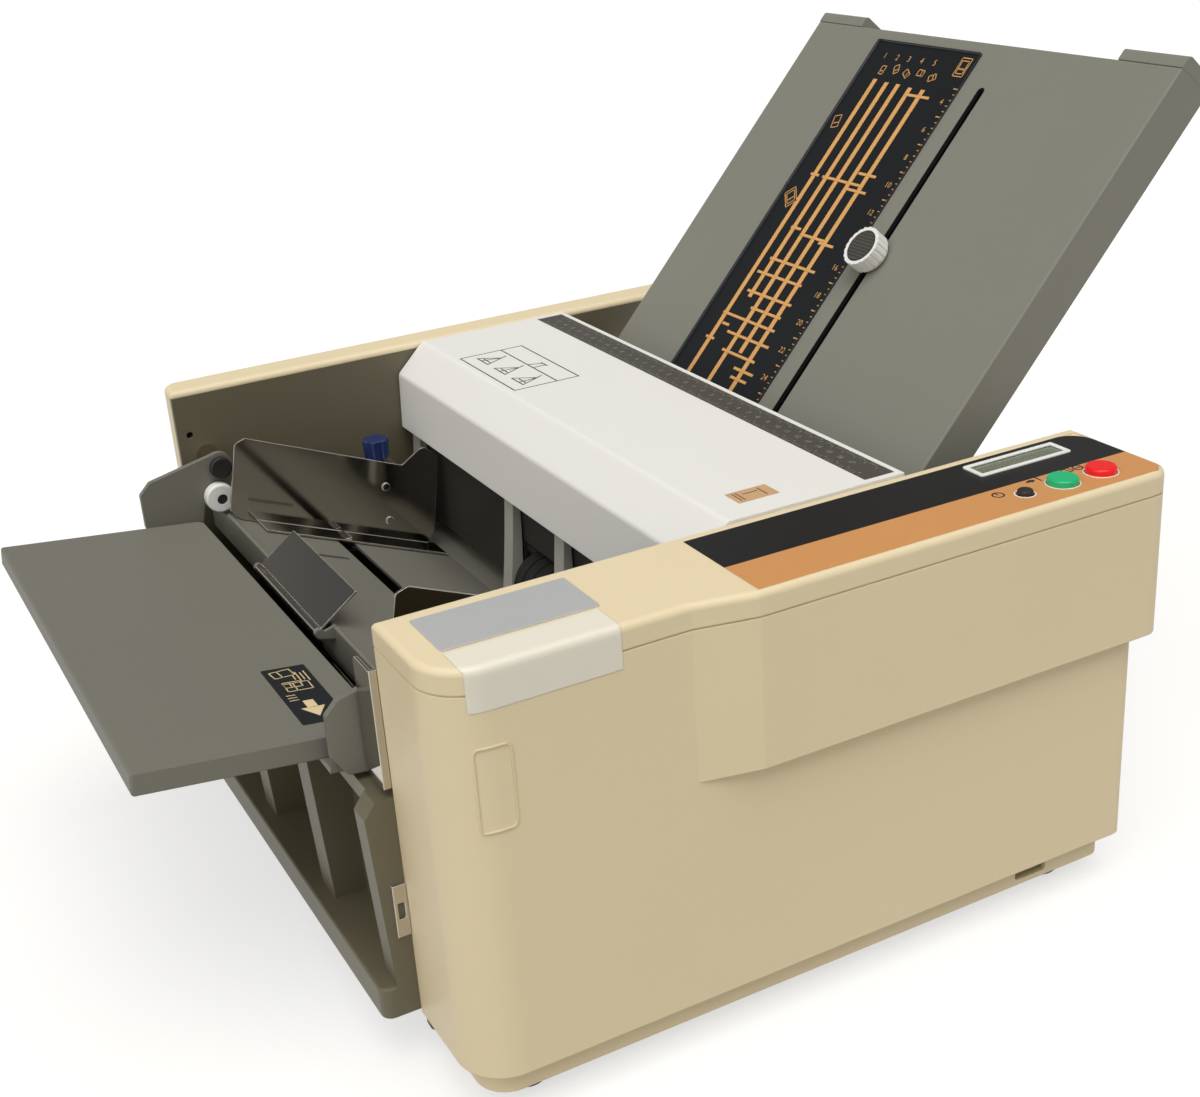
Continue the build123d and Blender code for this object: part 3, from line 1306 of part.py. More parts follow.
export_step(upper_fold_plate.part, "parts/upper_fold_plate.step")

mouth_end = 388.0
rail_width = 5.0
liner_sheet = 1.5
liner_start = skirt + 1.0
liner_length = mouth_end - liner_start
liner_width = fold_width - 2 * skirt - 1.0

with BuildPart() as fold_plate_liner:
    with BuildSketch(fold_plane.offset(channel_bottom)):
        with Locations((liner_start + liner_length / 2, 0)):
            Rectangle(liner_length, liner_width)
    extrude(amount=-liner_sheet)
    with BuildSketch(fold_plane.offset(channel_bottom)):
        for end in (-1, 1):
            with Locations((liner_start + liner_length / 2, end * (liner_width - rail_width) / 2)):
                Rectangle(liner_length, rail_width)
    extrude(amount=channel_gap)
    # upper lip of the mouth, below the casing's end
    with BuildSketch(fold_plane.offset(channel_top)):
        with Locations(((fold_length + mouth_end) / 2 + 0.5, 0)):
            Rectangle(mouth_end - fold_length, liner_width)
    extrude(amount=liner_sheet)
    # stiffening ribs across the back
    with BuildSketch(fold_plane.offset(channel_bottom - liner_sheet)):
        for along in (40, 110, 180, 250):
            with Locations((along, 0)):
                Rectangle(4, liner_width - 4)
    extrude(amount=-9)
    # windows that lighten the back
    with BuildSketch(fold_plane.offset(channel_bottom)):
        with Locations((75, -80), (75, 80), (145, -80), (145, 80), (215, -80), (215, 80)):
            RectangleRounded(44, 110, 6)
    extrude(amount=-liner_sheet, mode=Mode.SUBTRACT)
fold_plate_liner.part.label = "fold_plate_liner"
export_step(fold_plate_liner.part, "parts/fold_plate_liner.step")

cap_width = 48.0
cap_reach = 8.0

with BuildPart() as fold_plate_caps:
    for end in (-1, 1):
        with BuildSketch(fold_plane):
            with Locations((-cap_reach / 2, end * (fold_width - cap_width) / 2)):
                Rectangle(cap_reach, cap_width)
        extrude(amount=-fold_depth)
    fillet(fold_plate_caps.edges().filter_by(Axis.Y).group_by(Axis.X)[-1], 2.5)
    fillet(fold_plate_caps.edges().filter_by(Axis.Y).group_by(Axis.Z)[-1], 2.5)
fold_plate_caps.part.label = "fold_plate_caps"
export_step(fold_plate_caps.part, "parts/fold_plate_caps.step")

stop_width = 292.0
stop_height = channel_gap - 0.8

with BuildPart() as upper_stop:
    with BuildSketch(fold_plane.offset(channel_top - 0.4)):
        with Locations((stop_rest, 0)):
            Rectangle(7, stop_width)
        for finger in (-132, -88, -44, 0, 44, 88, 132):
            with Locations((stop_rest - 7, finger)):
                Rectangle(8, 14)
    extrude(amount=-stop_height)
    with BuildSketch(fold_plane.offset(channel_top - 0.5)):
        with Locations((stop_rest, slot_v)):
            Circle(2.4)
    extrude(amount=skin + 0.5 + 4)
upper_stop.part.label = "upper_stop"
export_step(upper_stop.part, "parts/upper_stop.step")

knob_base = 0.8
knob_height = 12.0

with BuildPart() as stop_knob:
    with BuildSketch(fold_plane.offset(knob_base)):
        with Locations((stop_rest, slot_v)):
            Circle(knob_r - 2)
    extrude(amount=2.5)
    with BuildSketch(fold_plane.offset(knob_base + 2.5)):
        with Locations((stop_rest, slot_v)):
            Circle(knob_r)
            with PolarLocations(knob_r + 0.6, 20):
                Circle(1.1, mode=Mode.SUBTRACT)
    extrude(amount=knob_height - 2.5)
    with BuildSketch(fold_plane.offset(knob_base)):
        with Locations((stop_rest, slot_v)):
            Circle(2.4 + running)
    extrude(amount=5, mode=Mode.SUBTRACT)
    with BuildSketch(fold_plane.offset(knob_base + knob_height)):
        with Locations((stop_rest, slot_v)):
            Circle(knob_r - 2.4)
    extrude(amount=-0.8, mode=Mode.SUBTRACT)
stop_knob.part.label = "stop_knob"
export_step(stop_knob.part, "parts/stop_knob.step")

# ---------------------------------------------------------------- lower fold plate
slope_2 = radians(second_angle)
second_nip = ((roller_2[0] + roller_3[0]) / 2, (roller_2[1] + roller_3[1]) / 2)
lower_plane = Plane(origin=(second_nip[0], paper_y, second_nip[1]),
                    x_dir=(-cos(slope_2), 0, -sin(slope_2)),
                    z_dir=(-sin(slope_2), 0, cos(slope_2)))
lower_gap = 4.0
lower_sheet = 1.5
lower_rib_at = (70.0, 130.0, 190.0)
lower_rib_middle = 90.0
lower_rib_length = 130.0
lower_rib_width = 3.0
lower_rib_height = 5.0
hanger_at = (90.0, 180.0)
hanger_width = 14.0
lower_length = lower_end - lower_start
lower_middle = (lower_start + lower_end) / 2

with BuildPart() as lower_fold_plate:
    for height in (lower_gap / 2 + lower_sheet, -lower_gap / 2):
        with BuildSketch(lower_plane.offset(height)):
            with Locations((lower_middle, 0)):
                Rectangle(lower_length, lower_width)
        extrude(amount=-lower_sheet)
    with BuildSketch(lower_plane.offset(lower_gap / 2)):
        for end in (-1, 1):
            with Locations((lower_middle, end * (lower_width - rail_width) / 2)):
                Rectangle(lower_length, rail_width)
    extrude(amount=-lower_gap)
    with BuildSketch(lower_plane.offset(-lower_gap / 2)):
        with Locations((lower_middle, 0)):
            SlotOverall(lower_length - 50, stop_slot_width)
    extrude(amount=-lower_sheet, mode=Mode.SUBTRACT)
    # ribs under the plate, either side of the slot
    with BuildSketch(lower_plane.offset(-lower_gap / 2 - lower_sheet)):
        for along in lower_rib_at:
            for end in (-1, 1):
                with Locations((along, end * lower_rib_middle)):
                    Rectangle(lower_rib_width, lower_rib_length)
    extrude(amount=-lower_rib_height)
    # hangers on the side plates
    with BuildSketch(lower_plane.offset(lower_gap / 2)):
        for along in hanger_at:
            for end in (-1, 1):
                with Locations((along, end * (lower_width / 2 + (inner_width - lower_width) / 4))):
                    Rectangle(hanger_width, (inner_width - lower_width) / 2)
    extrude(amount=-lower_gap)
lower_fold_plate.part.label = "lower_fold_plate"
export_step(lower_fold_plate.part, "parts/lower_fold_plate.step")

lower_stop_at = 150.0

with BuildPart() as lower_stop:
    with BuildSketch(lower_plane.offset(lower_gap / 2 - 0.4)):
        with Locations((lower_stop_at, 0)):
            Rectangle(6, stop_width)
    extrude(amount=-(lower_gap - 0.8))
    with BuildSketch(lower_plane.offset(-lower_gap / 2 + 0.5)):
        with Locations((lower_stop_at, 0)):
            Circle(2.4)
    extrude(amount=-(lower_sheet + 2.0))
    with BuildSketch(lower_plane.offset(-lower_gap / 2 - lower_sheet - 0.5)):
        with Locations((lower_stop_at, 0)):
            Circle(9)
    extrude(amount=-7)
lower_stop.part.label = "lower_stop"
export_step(lower_stop.part, "parts/lower_stop.step")

# ---------------------------------------------------------------- top cover
cover_y = (inner_front_y + 1.0, inner_rear_y - 1.0)
half_cover = cover_sheet / 2
web_bottom = cover_crease_z - 15.5
web_middle = (24, housing_height - 18.0)
web_rear = (70, housing_height - 15.0)

with BuildPart() as top_cover:
    with BuildSketch(Plane.XZ.offset(-cover_y[1])) as cover_profile:
        with BuildLine() as cover_line:
            Polyline((cover_front_x + half_cover, cover_bottom_z), (cover_front_x + 1.8 + half_cover, cover_crease_z),
                     (cover_crease_x, housing_height - half_cover),
                     (cover_rear_x - half_cover, housing_height - half_cover),
                     (cover_rear_x - half_cover, cover_pivot[1] - 4))
            fillet(cover_line.vertices().sort_by(Axis.X)[1:3], 3)
        trace(line_width=cover_sheet)
    extrude(amount=cover_y[1] - cover_y[0])
    for web_y in (cover_y[1], cover_y[0] + 2):
        with BuildSketch(Plane.XZ.offset(-web_y)):
            with BuildLine():
                Polyline((cover_front_x + 2.4, web_bottom), (cover_front_x + 3.2, cover_crease_z - 1),
                         (cover_crease_x, housing_height - 2), (cover_rear_x - 2, housing_height - 2),
                         (cover_rear_x - 2, cover_pivot[1] - 4), web_rear, web_middle, (-6, web_bottom), close=True)
            make_face()
            with Locations(cover_pivot):
                Circle(3 + running, mode=Mode.SUBTRACT)
        extrude(amount=2)
    # recess for the ruler strip
    with BuildSketch(Plane.XY.offset(housing_height)):
        with Locations((cover_rear_x - 12.5, paper_y)):
            Rectangle(19, cover_y[1] - cover_y[0] - 8)
    extrude(amount=-0.4, mode=Mode.SUBTRACT)
top_cover.part.label = "top_cover"
export_step(top_cover.part, "parts/top_cover.step")
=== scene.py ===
# %% [markdown]
# # A desk-top paper folding machine
#
# The machine stands on a desk. Sheets lie on a tray at the left and between two
# polished side guides. Rollers under a white cover feed them and fold them, and a
# long grey plate slopes up at the back. A cream housing along the front holds the
# motor and the control panel.
#
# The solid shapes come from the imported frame. This script gives them their finishes
# and adds what is too thin or too small for the solids: printed scales, labels,
# a badge, screw heads and the marks on the panel. Everything is in metres.

import json
from math import cos, pi, radians, sin

import bpy
from mathutils import Matrix, Vector


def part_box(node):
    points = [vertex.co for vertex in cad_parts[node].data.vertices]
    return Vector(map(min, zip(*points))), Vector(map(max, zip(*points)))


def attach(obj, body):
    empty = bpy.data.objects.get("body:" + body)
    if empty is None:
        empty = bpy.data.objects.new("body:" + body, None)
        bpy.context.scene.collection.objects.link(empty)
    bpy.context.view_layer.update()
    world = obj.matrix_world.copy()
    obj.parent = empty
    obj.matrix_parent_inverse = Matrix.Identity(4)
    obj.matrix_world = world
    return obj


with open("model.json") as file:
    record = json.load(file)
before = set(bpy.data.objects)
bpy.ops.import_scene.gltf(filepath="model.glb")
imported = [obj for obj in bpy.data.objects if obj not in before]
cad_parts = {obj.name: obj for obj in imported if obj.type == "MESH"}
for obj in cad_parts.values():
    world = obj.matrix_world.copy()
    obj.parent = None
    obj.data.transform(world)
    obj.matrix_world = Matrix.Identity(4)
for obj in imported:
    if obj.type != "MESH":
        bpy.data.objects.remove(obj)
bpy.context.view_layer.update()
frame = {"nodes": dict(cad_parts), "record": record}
nodes = frame["nodes"]
MM = 0.001

# %% [markdown]
# ## The camera
#
# A camera can be placed with angles and a distance, or by building its axes. Here
# the axes are built: forward from the azimuth and the fall, right across it, and
# up square to both, then all turned a few degrees, since the camera is held askew.

# %% Camera
EYE = Vector((-0.420, -0.831, 0.569))
AZIMUTH = radians(26.5)      # from +Y towards +X
FALL = radians(23.6)         # below the horizon
TILT = radians(-4.1)
LENS = 51.56                 # millimetres
SENSOR = 36                  # millimetres across

forward = Vector((sin(AZIMUTH) * cos(FALL), cos(AZIMUTH) * cos(FALL), -sin(FALL)))
level = Vector((cos(AZIMUTH), -sin(AZIMUTH), 0))
upright = level.cross(forward)
right = level * cos(TILT) + upright * sin(TILT)
up = upright * cos(TILT) - level * sin(TILT)

bpy.ops.object.camera_add(location=EYE)
camera = bpy.context.object
camera.matrix_world = Matrix.Translation(EYE) @ Matrix((right, up, -forward)).transposed().to_4x4()
camera.data.sensor_width = SENSOR
camera.data.lens = LENS
camera.data.clip_end = 60
bpy.context.scene.camera = camera
bpy.context.scene.view_settings.view_transform = "Standard"
print("camera looks along", [round(value, 3) for value in forward])

# %% [markdown]
# ## Light and floor
#
# A product picture has a pale floor and soft light. Two very wide suns light the
# machine evenly: the strong one from above and in front, a weak one from the left.
# The world fills the shadows with slightly warm light. Mirrors see a bright rim low
# down and a dark ceiling, so bare metal gets contrast. To the camera the world and
# the floor are nearly white, and the floor still takes the machine's soft shadow.


# %% Helpers for shaders
def new_finish(name):
    """A plain material, its node tree and the shader in it."""
    finish = bpy.data.materials.new(name)
    finish.use_nodes = True
    return finish, finish.node_tree, finish.node_tree.nodes["Principled BSDF"]


def maths(tree, operation, first, second, third=None, clamp=False):
    """The output of a maths node. Each value is a number, or a socket that is linked to the node."""
    node = tree.nodes.new("ShaderNodeMath")
    node.operation = operation
    node.use_clamp = clamp
    for socket, value in zip(node.inputs, (first, second, third)):
        if isinstance(value, bpy.types.NodeSocket):
            tree.links.new(value, socket)
        elif value is not None:
            socket.default_value = value
    return node.outputs[0]


print("shader helpers ready")


# %% World
def grey_sky(tree, strength, tint=(0.8, 0.8, 0.8, 1)):
    """A plain background of one strength."""
    sky = tree.nodes.new("ShaderNodeBackground")
    sky.inputs["Color"].default_value = tint
    sky.inputs["Strength"].default_value = strength
    return sky


def studio_sky(tree, low, high):
    """A background for mirrors: one strength low down, another from 24 degrees up."""
    place = tree.nodes.new("ShaderNodeTexCoord")
    parts = tree.nodes.new("ShaderNodeSeparateXYZ")
    fade = tree.nodes.new("ShaderNodeMapRange")
    fade.interpolation_type = "SMOOTHSTEP"
    fade.inputs["From Min"].default_value = 0.05
    fade.inputs["From Max"].default_value = 0.4
    fade.inputs["To Min"].default_value = low
    fade.inputs["To Max"].default_value = high
    sky = tree.nodes.new("ShaderNodeBackground")
    tree.links.new(place.outputs["Generated"], parts.inputs[0])
    tree.links.new(parts.outputs["Z"], fade.inputs["Value"])
    tree.links.new(fade.outputs["Result"], sky.inputs["Strength"])
    return sky


WARM = (0.8, 0.775, 0.705, 1)


def light_the_world(strength):
    """Warm light from all round, a studio for mirrors, and white past the floor for the camera."""
    world = bpy.data.worlds.new("studio")
    world.use_nodes = True
    bpy.context.scene.world = world
    tree = world.node_tree
    tree.nodes.clear()
    path = tree.nodes.new("ShaderNodeLightPath")
    sky = grey_sky(tree, strength, WARM)
    for output, other in (("Is Glossy Ray", studio_sky(tree, 0.75, 0.14)),
                          ("Is Transmission Ray", grey_sky(tree, 1.0)), ("Is Camera Ray", grey_sky(tree, 1.3))):
        blend = tree.nodes.new("ShaderNodeMixShader")
        tree.links.new(path.outputs[output], blend.inputs[0])
        tree.links.new(sky.outputs[0], blend.inputs[1])
        tree.links.new(other.outputs[0], blend.inputs[2])
        sky = blend
    out = tree.nodes.new("ShaderNodeOutputWorld")
    tree.links.new(sky.outputs[0], out.inputs["Surface"])


light_the_world(0.45)
print("world:", bpy.context.scene.world.name)


# %% Lamps
def wide_sun(name, towards, strength, spread):
    """A sun whose light travels along a direction. A wide spread makes its shadows soft."""
    bpy.ops.object.light_add(type="SUN", location=(0, 0, 2))
    lamp = bpy.context.object
    lamp.name = name
    lamp.data.energy = strength
    lamp.data.angle = radians(spread)
    lamp.rotation_euler = Vector(towards).to_track_quat("-Z", "Y").to_euler()


wide_sun("sun_over", (0.05, 0.34, -1.0), 1.79, 50)
wide_sun("sun_left", (1.0, 0.3, -0.7), 0.8, 60)


# %% Floor
def sheet_of_floor(half_width, lift):
    """A wide grey plane. A glow, which only the camera and mirrors see, brings it up to white."""
    bpy.ops.mesh.primitive_plane_add(size=2 * half_width, location=(0, 0, -0.0002))
    floor = bpy.context.object
    floor.name = "studio_floor"
    finish, tree, shader = new_finish("pale_floor")
    shader.inputs["Base Color"].default_value = (0.4, 0.395, 0.38, 1)
    shader.inputs["Roughness"].default_value = 0.9
    shader.inputs["Emission Color"].default_value = (1, 1, 1, 1)
    path = tree.nodes.new("ShaderNodeLightPath").outputs
    mirrored = maths(tree, "MAXIMUM", path["Is Glossy Ray"], path["Is Transmission Ray"])
    seen = maths(tree, "MAXIMUM", path["Is Camera Ray"], mirrored)
    tree.links.new(maths(tree, "MULTIPLY", seen, lift), shader.inputs["Emission Strength"])
    floor.data.materials.append(finish)


sheet_of_floor(14, 0.64)
print("floor at z = 0")

# %% [markdown]
# ## Effects that several finishes share
#
# Real paint is never one flat colour. It drifts a little over a hand's width, its
# skin has a fine orange peel, and its corners catch the light. Each effect is a
# shader group with named inputs, so every finish can use it at its own strength.


# %% A helper for shader groups
def shader_group(name, inputs, outputs):
    """An empty shader group. Inputs are (name, type, value), outputs are (name, type)."""
    group = bpy.data.node_groups.new(name, "ShaderNodeTree")
    for label, kind, value in inputs:
        socket = group.interface.new_socket(name=label, in_out="INPUT", socket_type=kind)
        socket.default_value = value
    for label, kind in outputs:
        group.interface.new_socket(name=label, in_out="OUTPUT", socket_type=kind)
    return group, group.nodes.new("NodeGroupInput"), group.nodes.new("NodeGroupOutput")


NUMBER = "NodeSocketFloat"
COLOUR = "NodeSocketColor"
VECTOR = "NodeSocketVector"
print("socket kinds:", NUMBER, COLOUR, VECTOR)


# %% Colour drift and orange peel
def build_colour_drift():
    """Noise makes a colour lighter and darker by a few percent."""
    group, given, result = shader_group(
        "colour_drift",
        [("Colour", COLOUR, (1, 1, 1, 1)), ("Patch", NUMBER, 6.0), ("Amount", NUMBER, 0.06)],
        [("Colour", COLOUR)])
    place = group.nodes.new("ShaderNodeTexCoord")
    broad = group.nodes.new("ShaderNodeTexNoise")
    broad.inputs["Detail"].default_value = 4
    group.links.new(place.outputs["Object"], broad.inputs["Vector"])
    group.links.new(given.outputs["Patch"], broad.inputs["Scale"])
    centred = maths(group, "SUBTRACT", broad.outputs["Fac"], 0.5)
    scaled = maths(group, "MULTIPLY_ADD", centred, given.outputs["Amount"], 1.0)
    tint = group.nodes.new("ShaderNodeVectorMath")
    tint.operation = "SCALE"
    group.links.new(given.outputs["Colour"], tint.inputs[0])
    group.links.new(scaled, tint.inputs["Scale"])
    group.links.new(tint.outputs[0], result.inputs["Colour"])
    return group


def build_orange_peel():
    """Height of a sprayed or moulded skin: fine bumps, with a finer grain on them."""
    group, given, result = shader_group(
        "orange_peel",
        [("Grain", NUMBER, 900.0), ("Fine share", NUMBER, 0.4)],
        [("Height", NUMBER)])
    place = group.nodes.new("ShaderNodeTexCoord")
    bumps = group.nodes.new("ShaderNodeTexNoise")
    bumps.inputs["Detail"].default_value = 2
    fine = group.nodes.new("ShaderNodeTexNoise")
    group.links.new(place.outputs["Object"], bumps.inputs["Vector"])
    group.links.new(place.outputs["Object"], fine.inputs["Vector"])
    group.links.new(given.outputs["Grain"], bumps.inputs["Scale"])
    group.links.new(maths(group, "MULTIPLY", given.outputs["Grain"], 3.1), fine.inputs["Scale"])
    height = maths(group, "MULTIPLY_ADD", fine.outputs["Fac"], given.outputs["Fine share"], bumps.outputs["Fac"])
    group.links.new(height, result.inputs["Height"])
    return group


colour_drift = build_colour_drift()
orange_peel = build_orange_peel()
print("groups:", colour_drift.name, orange_peel.name)


# %% Soft corners and brushed grain
def build_soft_corner():
    """A mask of the corners, and a normal that rounds them off."""
    group, given, result = shader_group(
        "soft_corner", [("Radius", NUMBER, 0.0006)], [("Normal", VECTOR), ("Corner", NUMBER)])
    rounded = group.nodes.new("ShaderNodeBevel")
    rounded.samples = 6
    group.links.new(given.outputs["Radius"], rounded.inputs["Radius"])
    flat = group.nodes.new("ShaderNodeNewGeometry")
    turn = group.nodes.new("ShaderNodeVectorMath")
    turn.operation = "DOT_PRODUCT"
    group.links.new(rounded.outputs["Normal"], turn.inputs[0])
    group.links.new(flat.outputs["Normal"], turn.inputs[1])
    away = group.nodes.new("ShaderNodeMapRange")
    away.inputs["From Min"].default_value = 1.0
    away.inputs["From Max"].default_value = 0.75
    group.links.new(turn.outputs["Value"], away.inputs["Value"])
    group.links.new(rounded.outputs["Normal"], result.inputs["Normal"])
    group.links.new(away.outputs["Result"], result.inputs["Corner"])
    return group


def build_brushed_grain():
    """Fine streaks along one direction, for rolled, ground and brushed metal."""
    group, given, result = shader_group(
        "brushed_grain",
        [("Along", VECTOR, (1, 30, 30)), ("Grain", NUMBER, 90.0)],
        [("Streak", NUMBER)])
    place = group.nodes.new("ShaderNodeTexCoord")
    stretch = group.nodes.new("ShaderNodeVectorMath")
    stretch.operation = "MULTIPLY"
    group.links.new(place.outputs["Object"], stretch.inputs[0])
    group.links.new(given.outputs["Along"], stretch.inputs[1])
    streak = group.nodes.new("ShaderNodeTexNoise")
    streak.inputs["Detail"].default_value = 5
    streak.inputs["Roughness"].default_value = 0.65
    group.links.new(stretch.outputs[0], streak.inputs["Vector"])
    group.links.new(given.outputs["Grain"], streak.inputs["Scale"])
    group.links.new(streak.outputs["Fac"], result.inputs["Streak"])
    return group


soft_corner = build_soft_corner()
brushed_grain = build_brushed_grain()
print("groups:", soft_corner.name, brushed_grain.name)

# %% [markdown]
# ## Paint, plastic and rubber
#
# The covers, plates and tray are painted, the keys and knobs are moulded plastic,
# and the feet and the feed tyre are rubber. Each could have its own material made by
# hand, but only a few numbers differ, so one helper builds them all. The colour goes
# through the drift, corners get a little lighter where hands and cloths rub them,
# and the orange peel gives the bump and makes the roughness uneven.


# %% Finishes without metal
def from_screen(red, green, blue):
    """A colour that is given in screen values, 0 to 255, as the shader wants it."""
    parts = [value / 255 for value in (red, green, blue)]
    return (*(part / 12.92 if part <= 0.04045 else ((part + 0.055) / 1.055) ** 2.4 for part in parts), 1)


def use_group(tree, group, **values):
    """Places a shader group and fills in its inputs."""
    node = tree.nodes.new("ShaderNodeGroup")
    node.node_tree = group
    for label, value in values.items():
        node.inputs[label.replace("_", " ")].default_value = value
    return node


def faded(tree, share, colour, other):
    """A colour that goes over to another, fixed one where the share is high."""
    mix = tree.nodes.new("ShaderNodeMix")
    mix.data_type = "RGBA"
    mix.inputs["B"].default_value = other
    tree.links.new(share, mix.inputs["Factor"])
    tree.links.new(colour, mix.inputs["A"])
    return mix.outputs["Result"]


def pressed(tree, height, normal, depth, distance):
    """Presses a height into the shader's skin, on top of the rounded normal. The distance is in millimetres."""
    bump = tree.nodes.new("ShaderNodeBump")
    bump.inputs["Strength"].default_value = depth
    bump.inputs["Distance"].default_value = distance * MM
    tree.links.new(height, bump.inputs["Height"])
    tree.links.new(normal, bump.inputs["Normal"])
    tree.links.new(bump.outputs["Normal"], tree.nodes["Principled BSDF"].inputs["Normal"])


def roughened(tree, height, low, high):
    """Lets the shader's roughness follow a height, between two values."""
    uneven = tree.nodes.new("ShaderNodeMapRange")
    uneven.inputs["To Min"].default_value = low
    uneven.inputs["To Max"].default_value = high
    tree.links.new(height, uneven.inputs["Value"])
    tree.links.new(uneven.outputs["Result"], tree.nodes["Principled BSDF"].inputs["Roughness"])


def coated(name, colour, rough, drift=0.06, patch=7.0, grain=900.0, depth=0.12, rub=0.25, corner=0.6,
           sheen_coat=0.0):
    """A painted, moulded or rubber skin. Corner is the rounding in millimetres."""
    finish, tree, shader = new_finish(name)
    shader.inputs["Coat Weight"].default_value = sheen_coat
    shader.inputs["Coat Roughness"].default_value = 0.12
    tint = use_group(tree, colour_drift, Colour=colour, Patch=patch, Amount=drift)
    edge = use_group(tree, soft_corner, Radius=corner * MM)
    rubbed = tuple(min(1.0, part * 1.25 + 0.03) for part in colour[:3]) + (1,)
    share = maths(tree, "MULTIPLY", edge.outputs["Corner"], rub)
    tree.links.new(faded(tree, share, tint.outputs["Colour"], rubbed), shader.inputs["Base Color"])
    skin = use_group(tree, orange_peel, Grain=grain).outputs["Height"]
    pressed(tree, skin, edge.outputs["Normal"], depth, 0.15)
    roughened(tree, skin, max(0.05, rough - 0.06), min(1.0, rough + 0.08))
    return finish


# each coat: name, colour on a screen, roughness, and what differs from the usual skin
COATS = (
    ("cream_paint", (235, 218, 181), 0.42, dict(drift=0.05, grain=700, depth=0.16, rub=0.12, corner=0.8)),
    ("inner_paint", (105, 99, 79), 0.42, dict(drift=0.12, grain=1100, depth=0.1, rub=0.2)),
    ("grey_paint", (119, 117, 107), 0.5, dict(drift=0.07, grain=1300, depth=0.14, rub=0.22, corner=0.8)),
    # the tray's grey made paler: painted light on the sloping fold plate
    ("grey_paint_painted_light", (133, 132, 122), 0.5, dict(drift=0.07, grain=1300, depth=0.14, rub=0.22, corner=0.8)),
    # matt black for the slot's strip and edging: painted shade where the slot is deep
    ("painted_slot_shade", (12, 12, 12), 0.8, dict(drift=0.1, depth=0.05, rub=0.0)),
    ("white_plastic", (238, 237, 233), 0.4, dict(drift=0.03, grain=800, depth=0.06, rub=0.1)),
    ("arm_plastic", (172, 171, 163), 0.45, dict(rub=0.2)),
    ("black_plastic", (42, 41, 39), 0.46, dict(drift=0.15, grain=1200)),
    ("black_rubber", (34, 33, 32), 0.75, dict(drift=0.25, grain=1500, depth=0.3, rub=0.2)),
    ("gear_plastic", (222, 218, 202), 0.35, dict(drift=0.05, depth=0.05)),
    ("panel_black", (27, 27, 28), 0.42, dict(grain=2000, depth=0.08, rub=0.1)),
    ("panel_orange", (212, 150, 90), 0.46, dict(drift=0.05, grain=2000, depth=0.08, rub=0.1)),
    ("start_green", (12, 190, 124), 0.3, dict(drift=0.05, depth=0.03, rub=0.3, sheen_coat=0.3)),
    ("stop_red", (252, 12, 20), 0.3, dict(drift=0.05, depth=0.03, rub=0.3, sheen_coat=0.3)),
    ("navy_plastic", (26, 46, 98), 0.3, dict(drift=0.08, depth=0.04, rub=0.35, sheen_coat=0.3)),
    ("board_green", (28, 92, 52), 0.4, dict(drift=0.2, patch=60)),
)
finishes = {name: coated(name, from_screen(*screen), rough, **more) for name, screen, rough, more in COATS}
print("coated finishes:", len(finishes))

# %% [markdown]
# ## Metal
#
# The side guides are polished, and shafts, rollers and screws are ground. Bare metal
# is a mirror that something has scratched. A picture of scratches would repeat, so
# the grain group makes long streaks instead, which change the roughness and press
# shallow lines into the surface.


# %% Metal finishes
# colour of the painted highlight on the edges of bare metal
PAINTED_EDGE_HIGHLIGHT = (0.86, 0.84, 0.80, 1)


def bare_metal(name, colour, rough, along, streak_share=0.15, depth=0.05, grain=90.0, metal=1.0, edge_highlight_share=0.0):
    """Bare metal with streaks along the axis whose factor is smallest. A share of painted highlight makes the edges
    pale and less metallic.
    """
    finish, tree, shader = new_finish(name)
    edge = use_group(tree, soft_corner, Radius=(0.8 if edge_highlight_share else 0.3) * MM)
    # painted highlight: the edges turn pale and less metallic by this share
    share = maths(tree, "MULTIPLY", edge.outputs["Corner"], edge_highlight_share)
    tint = use_group(tree, colour_drift, Colour=colour, Patch=14.0, Amount=0.14)
    tree.links.new(faded(tree, share, tint.outputs["Colour"], PAINTED_EDGE_HIGHLIGHT), shader.inputs["Base Color"])
    tree.links.new(maths(tree, "SUBTRACT", metal, share, clamp=True), shader.inputs["Metallic"])
    streaks = use_group(tree, brushed_grain, Along=along, Grain=grain).outputs["Streak"]
    roughened(tree, streaks, max(0.04, rough - streak_share), rough + streak_share)
    pressed(tree, streaks, edge.outputs["Normal"], depth, 0.1)
    return finish


# each metal: name, colour on a screen, roughness, streaks along, and what differs from the usual grain
METALS = (
    ("polished_steel", (196, 190, 180), 0.09, (1, 30, 30), dict(streak_share=0.05, depth=0.015, edge_highlight_share=0.9)),
    ("roller_steel", (150, 150, 148), 0.35, (30, 1, 30), {}),
    ("gear_steel", (150, 151, 152), 0.38, (30, 1, 30), {}),
    ("supply_metal", (178, 180, 180), 0.4, (1, 20, 20), {}),
    ("bronze", (176, 140, 92), 0.4, (20, 1, 20), {}),
    ("badge_silver", (206, 207, 208), 0.36, (1, 60, 60), dict(streak_share=0.2, depth=0.12, grain=140, metal=0.3)),
)
for name, screen, rough, along, more in METALS:
    finishes[name] = bare_metal(name, from_screen(*screen), rough, along, **more)
print("finishes:", len(finishes))

# %% [markdown]
# ## The display window
#
# The window is a liquid crystal display that is switched off: a grey-green sheet
# under a clear, glossy front, with a faint grid of cells. The grid could be drawn
# with bars. A brick texture without any shift gives it in one node.


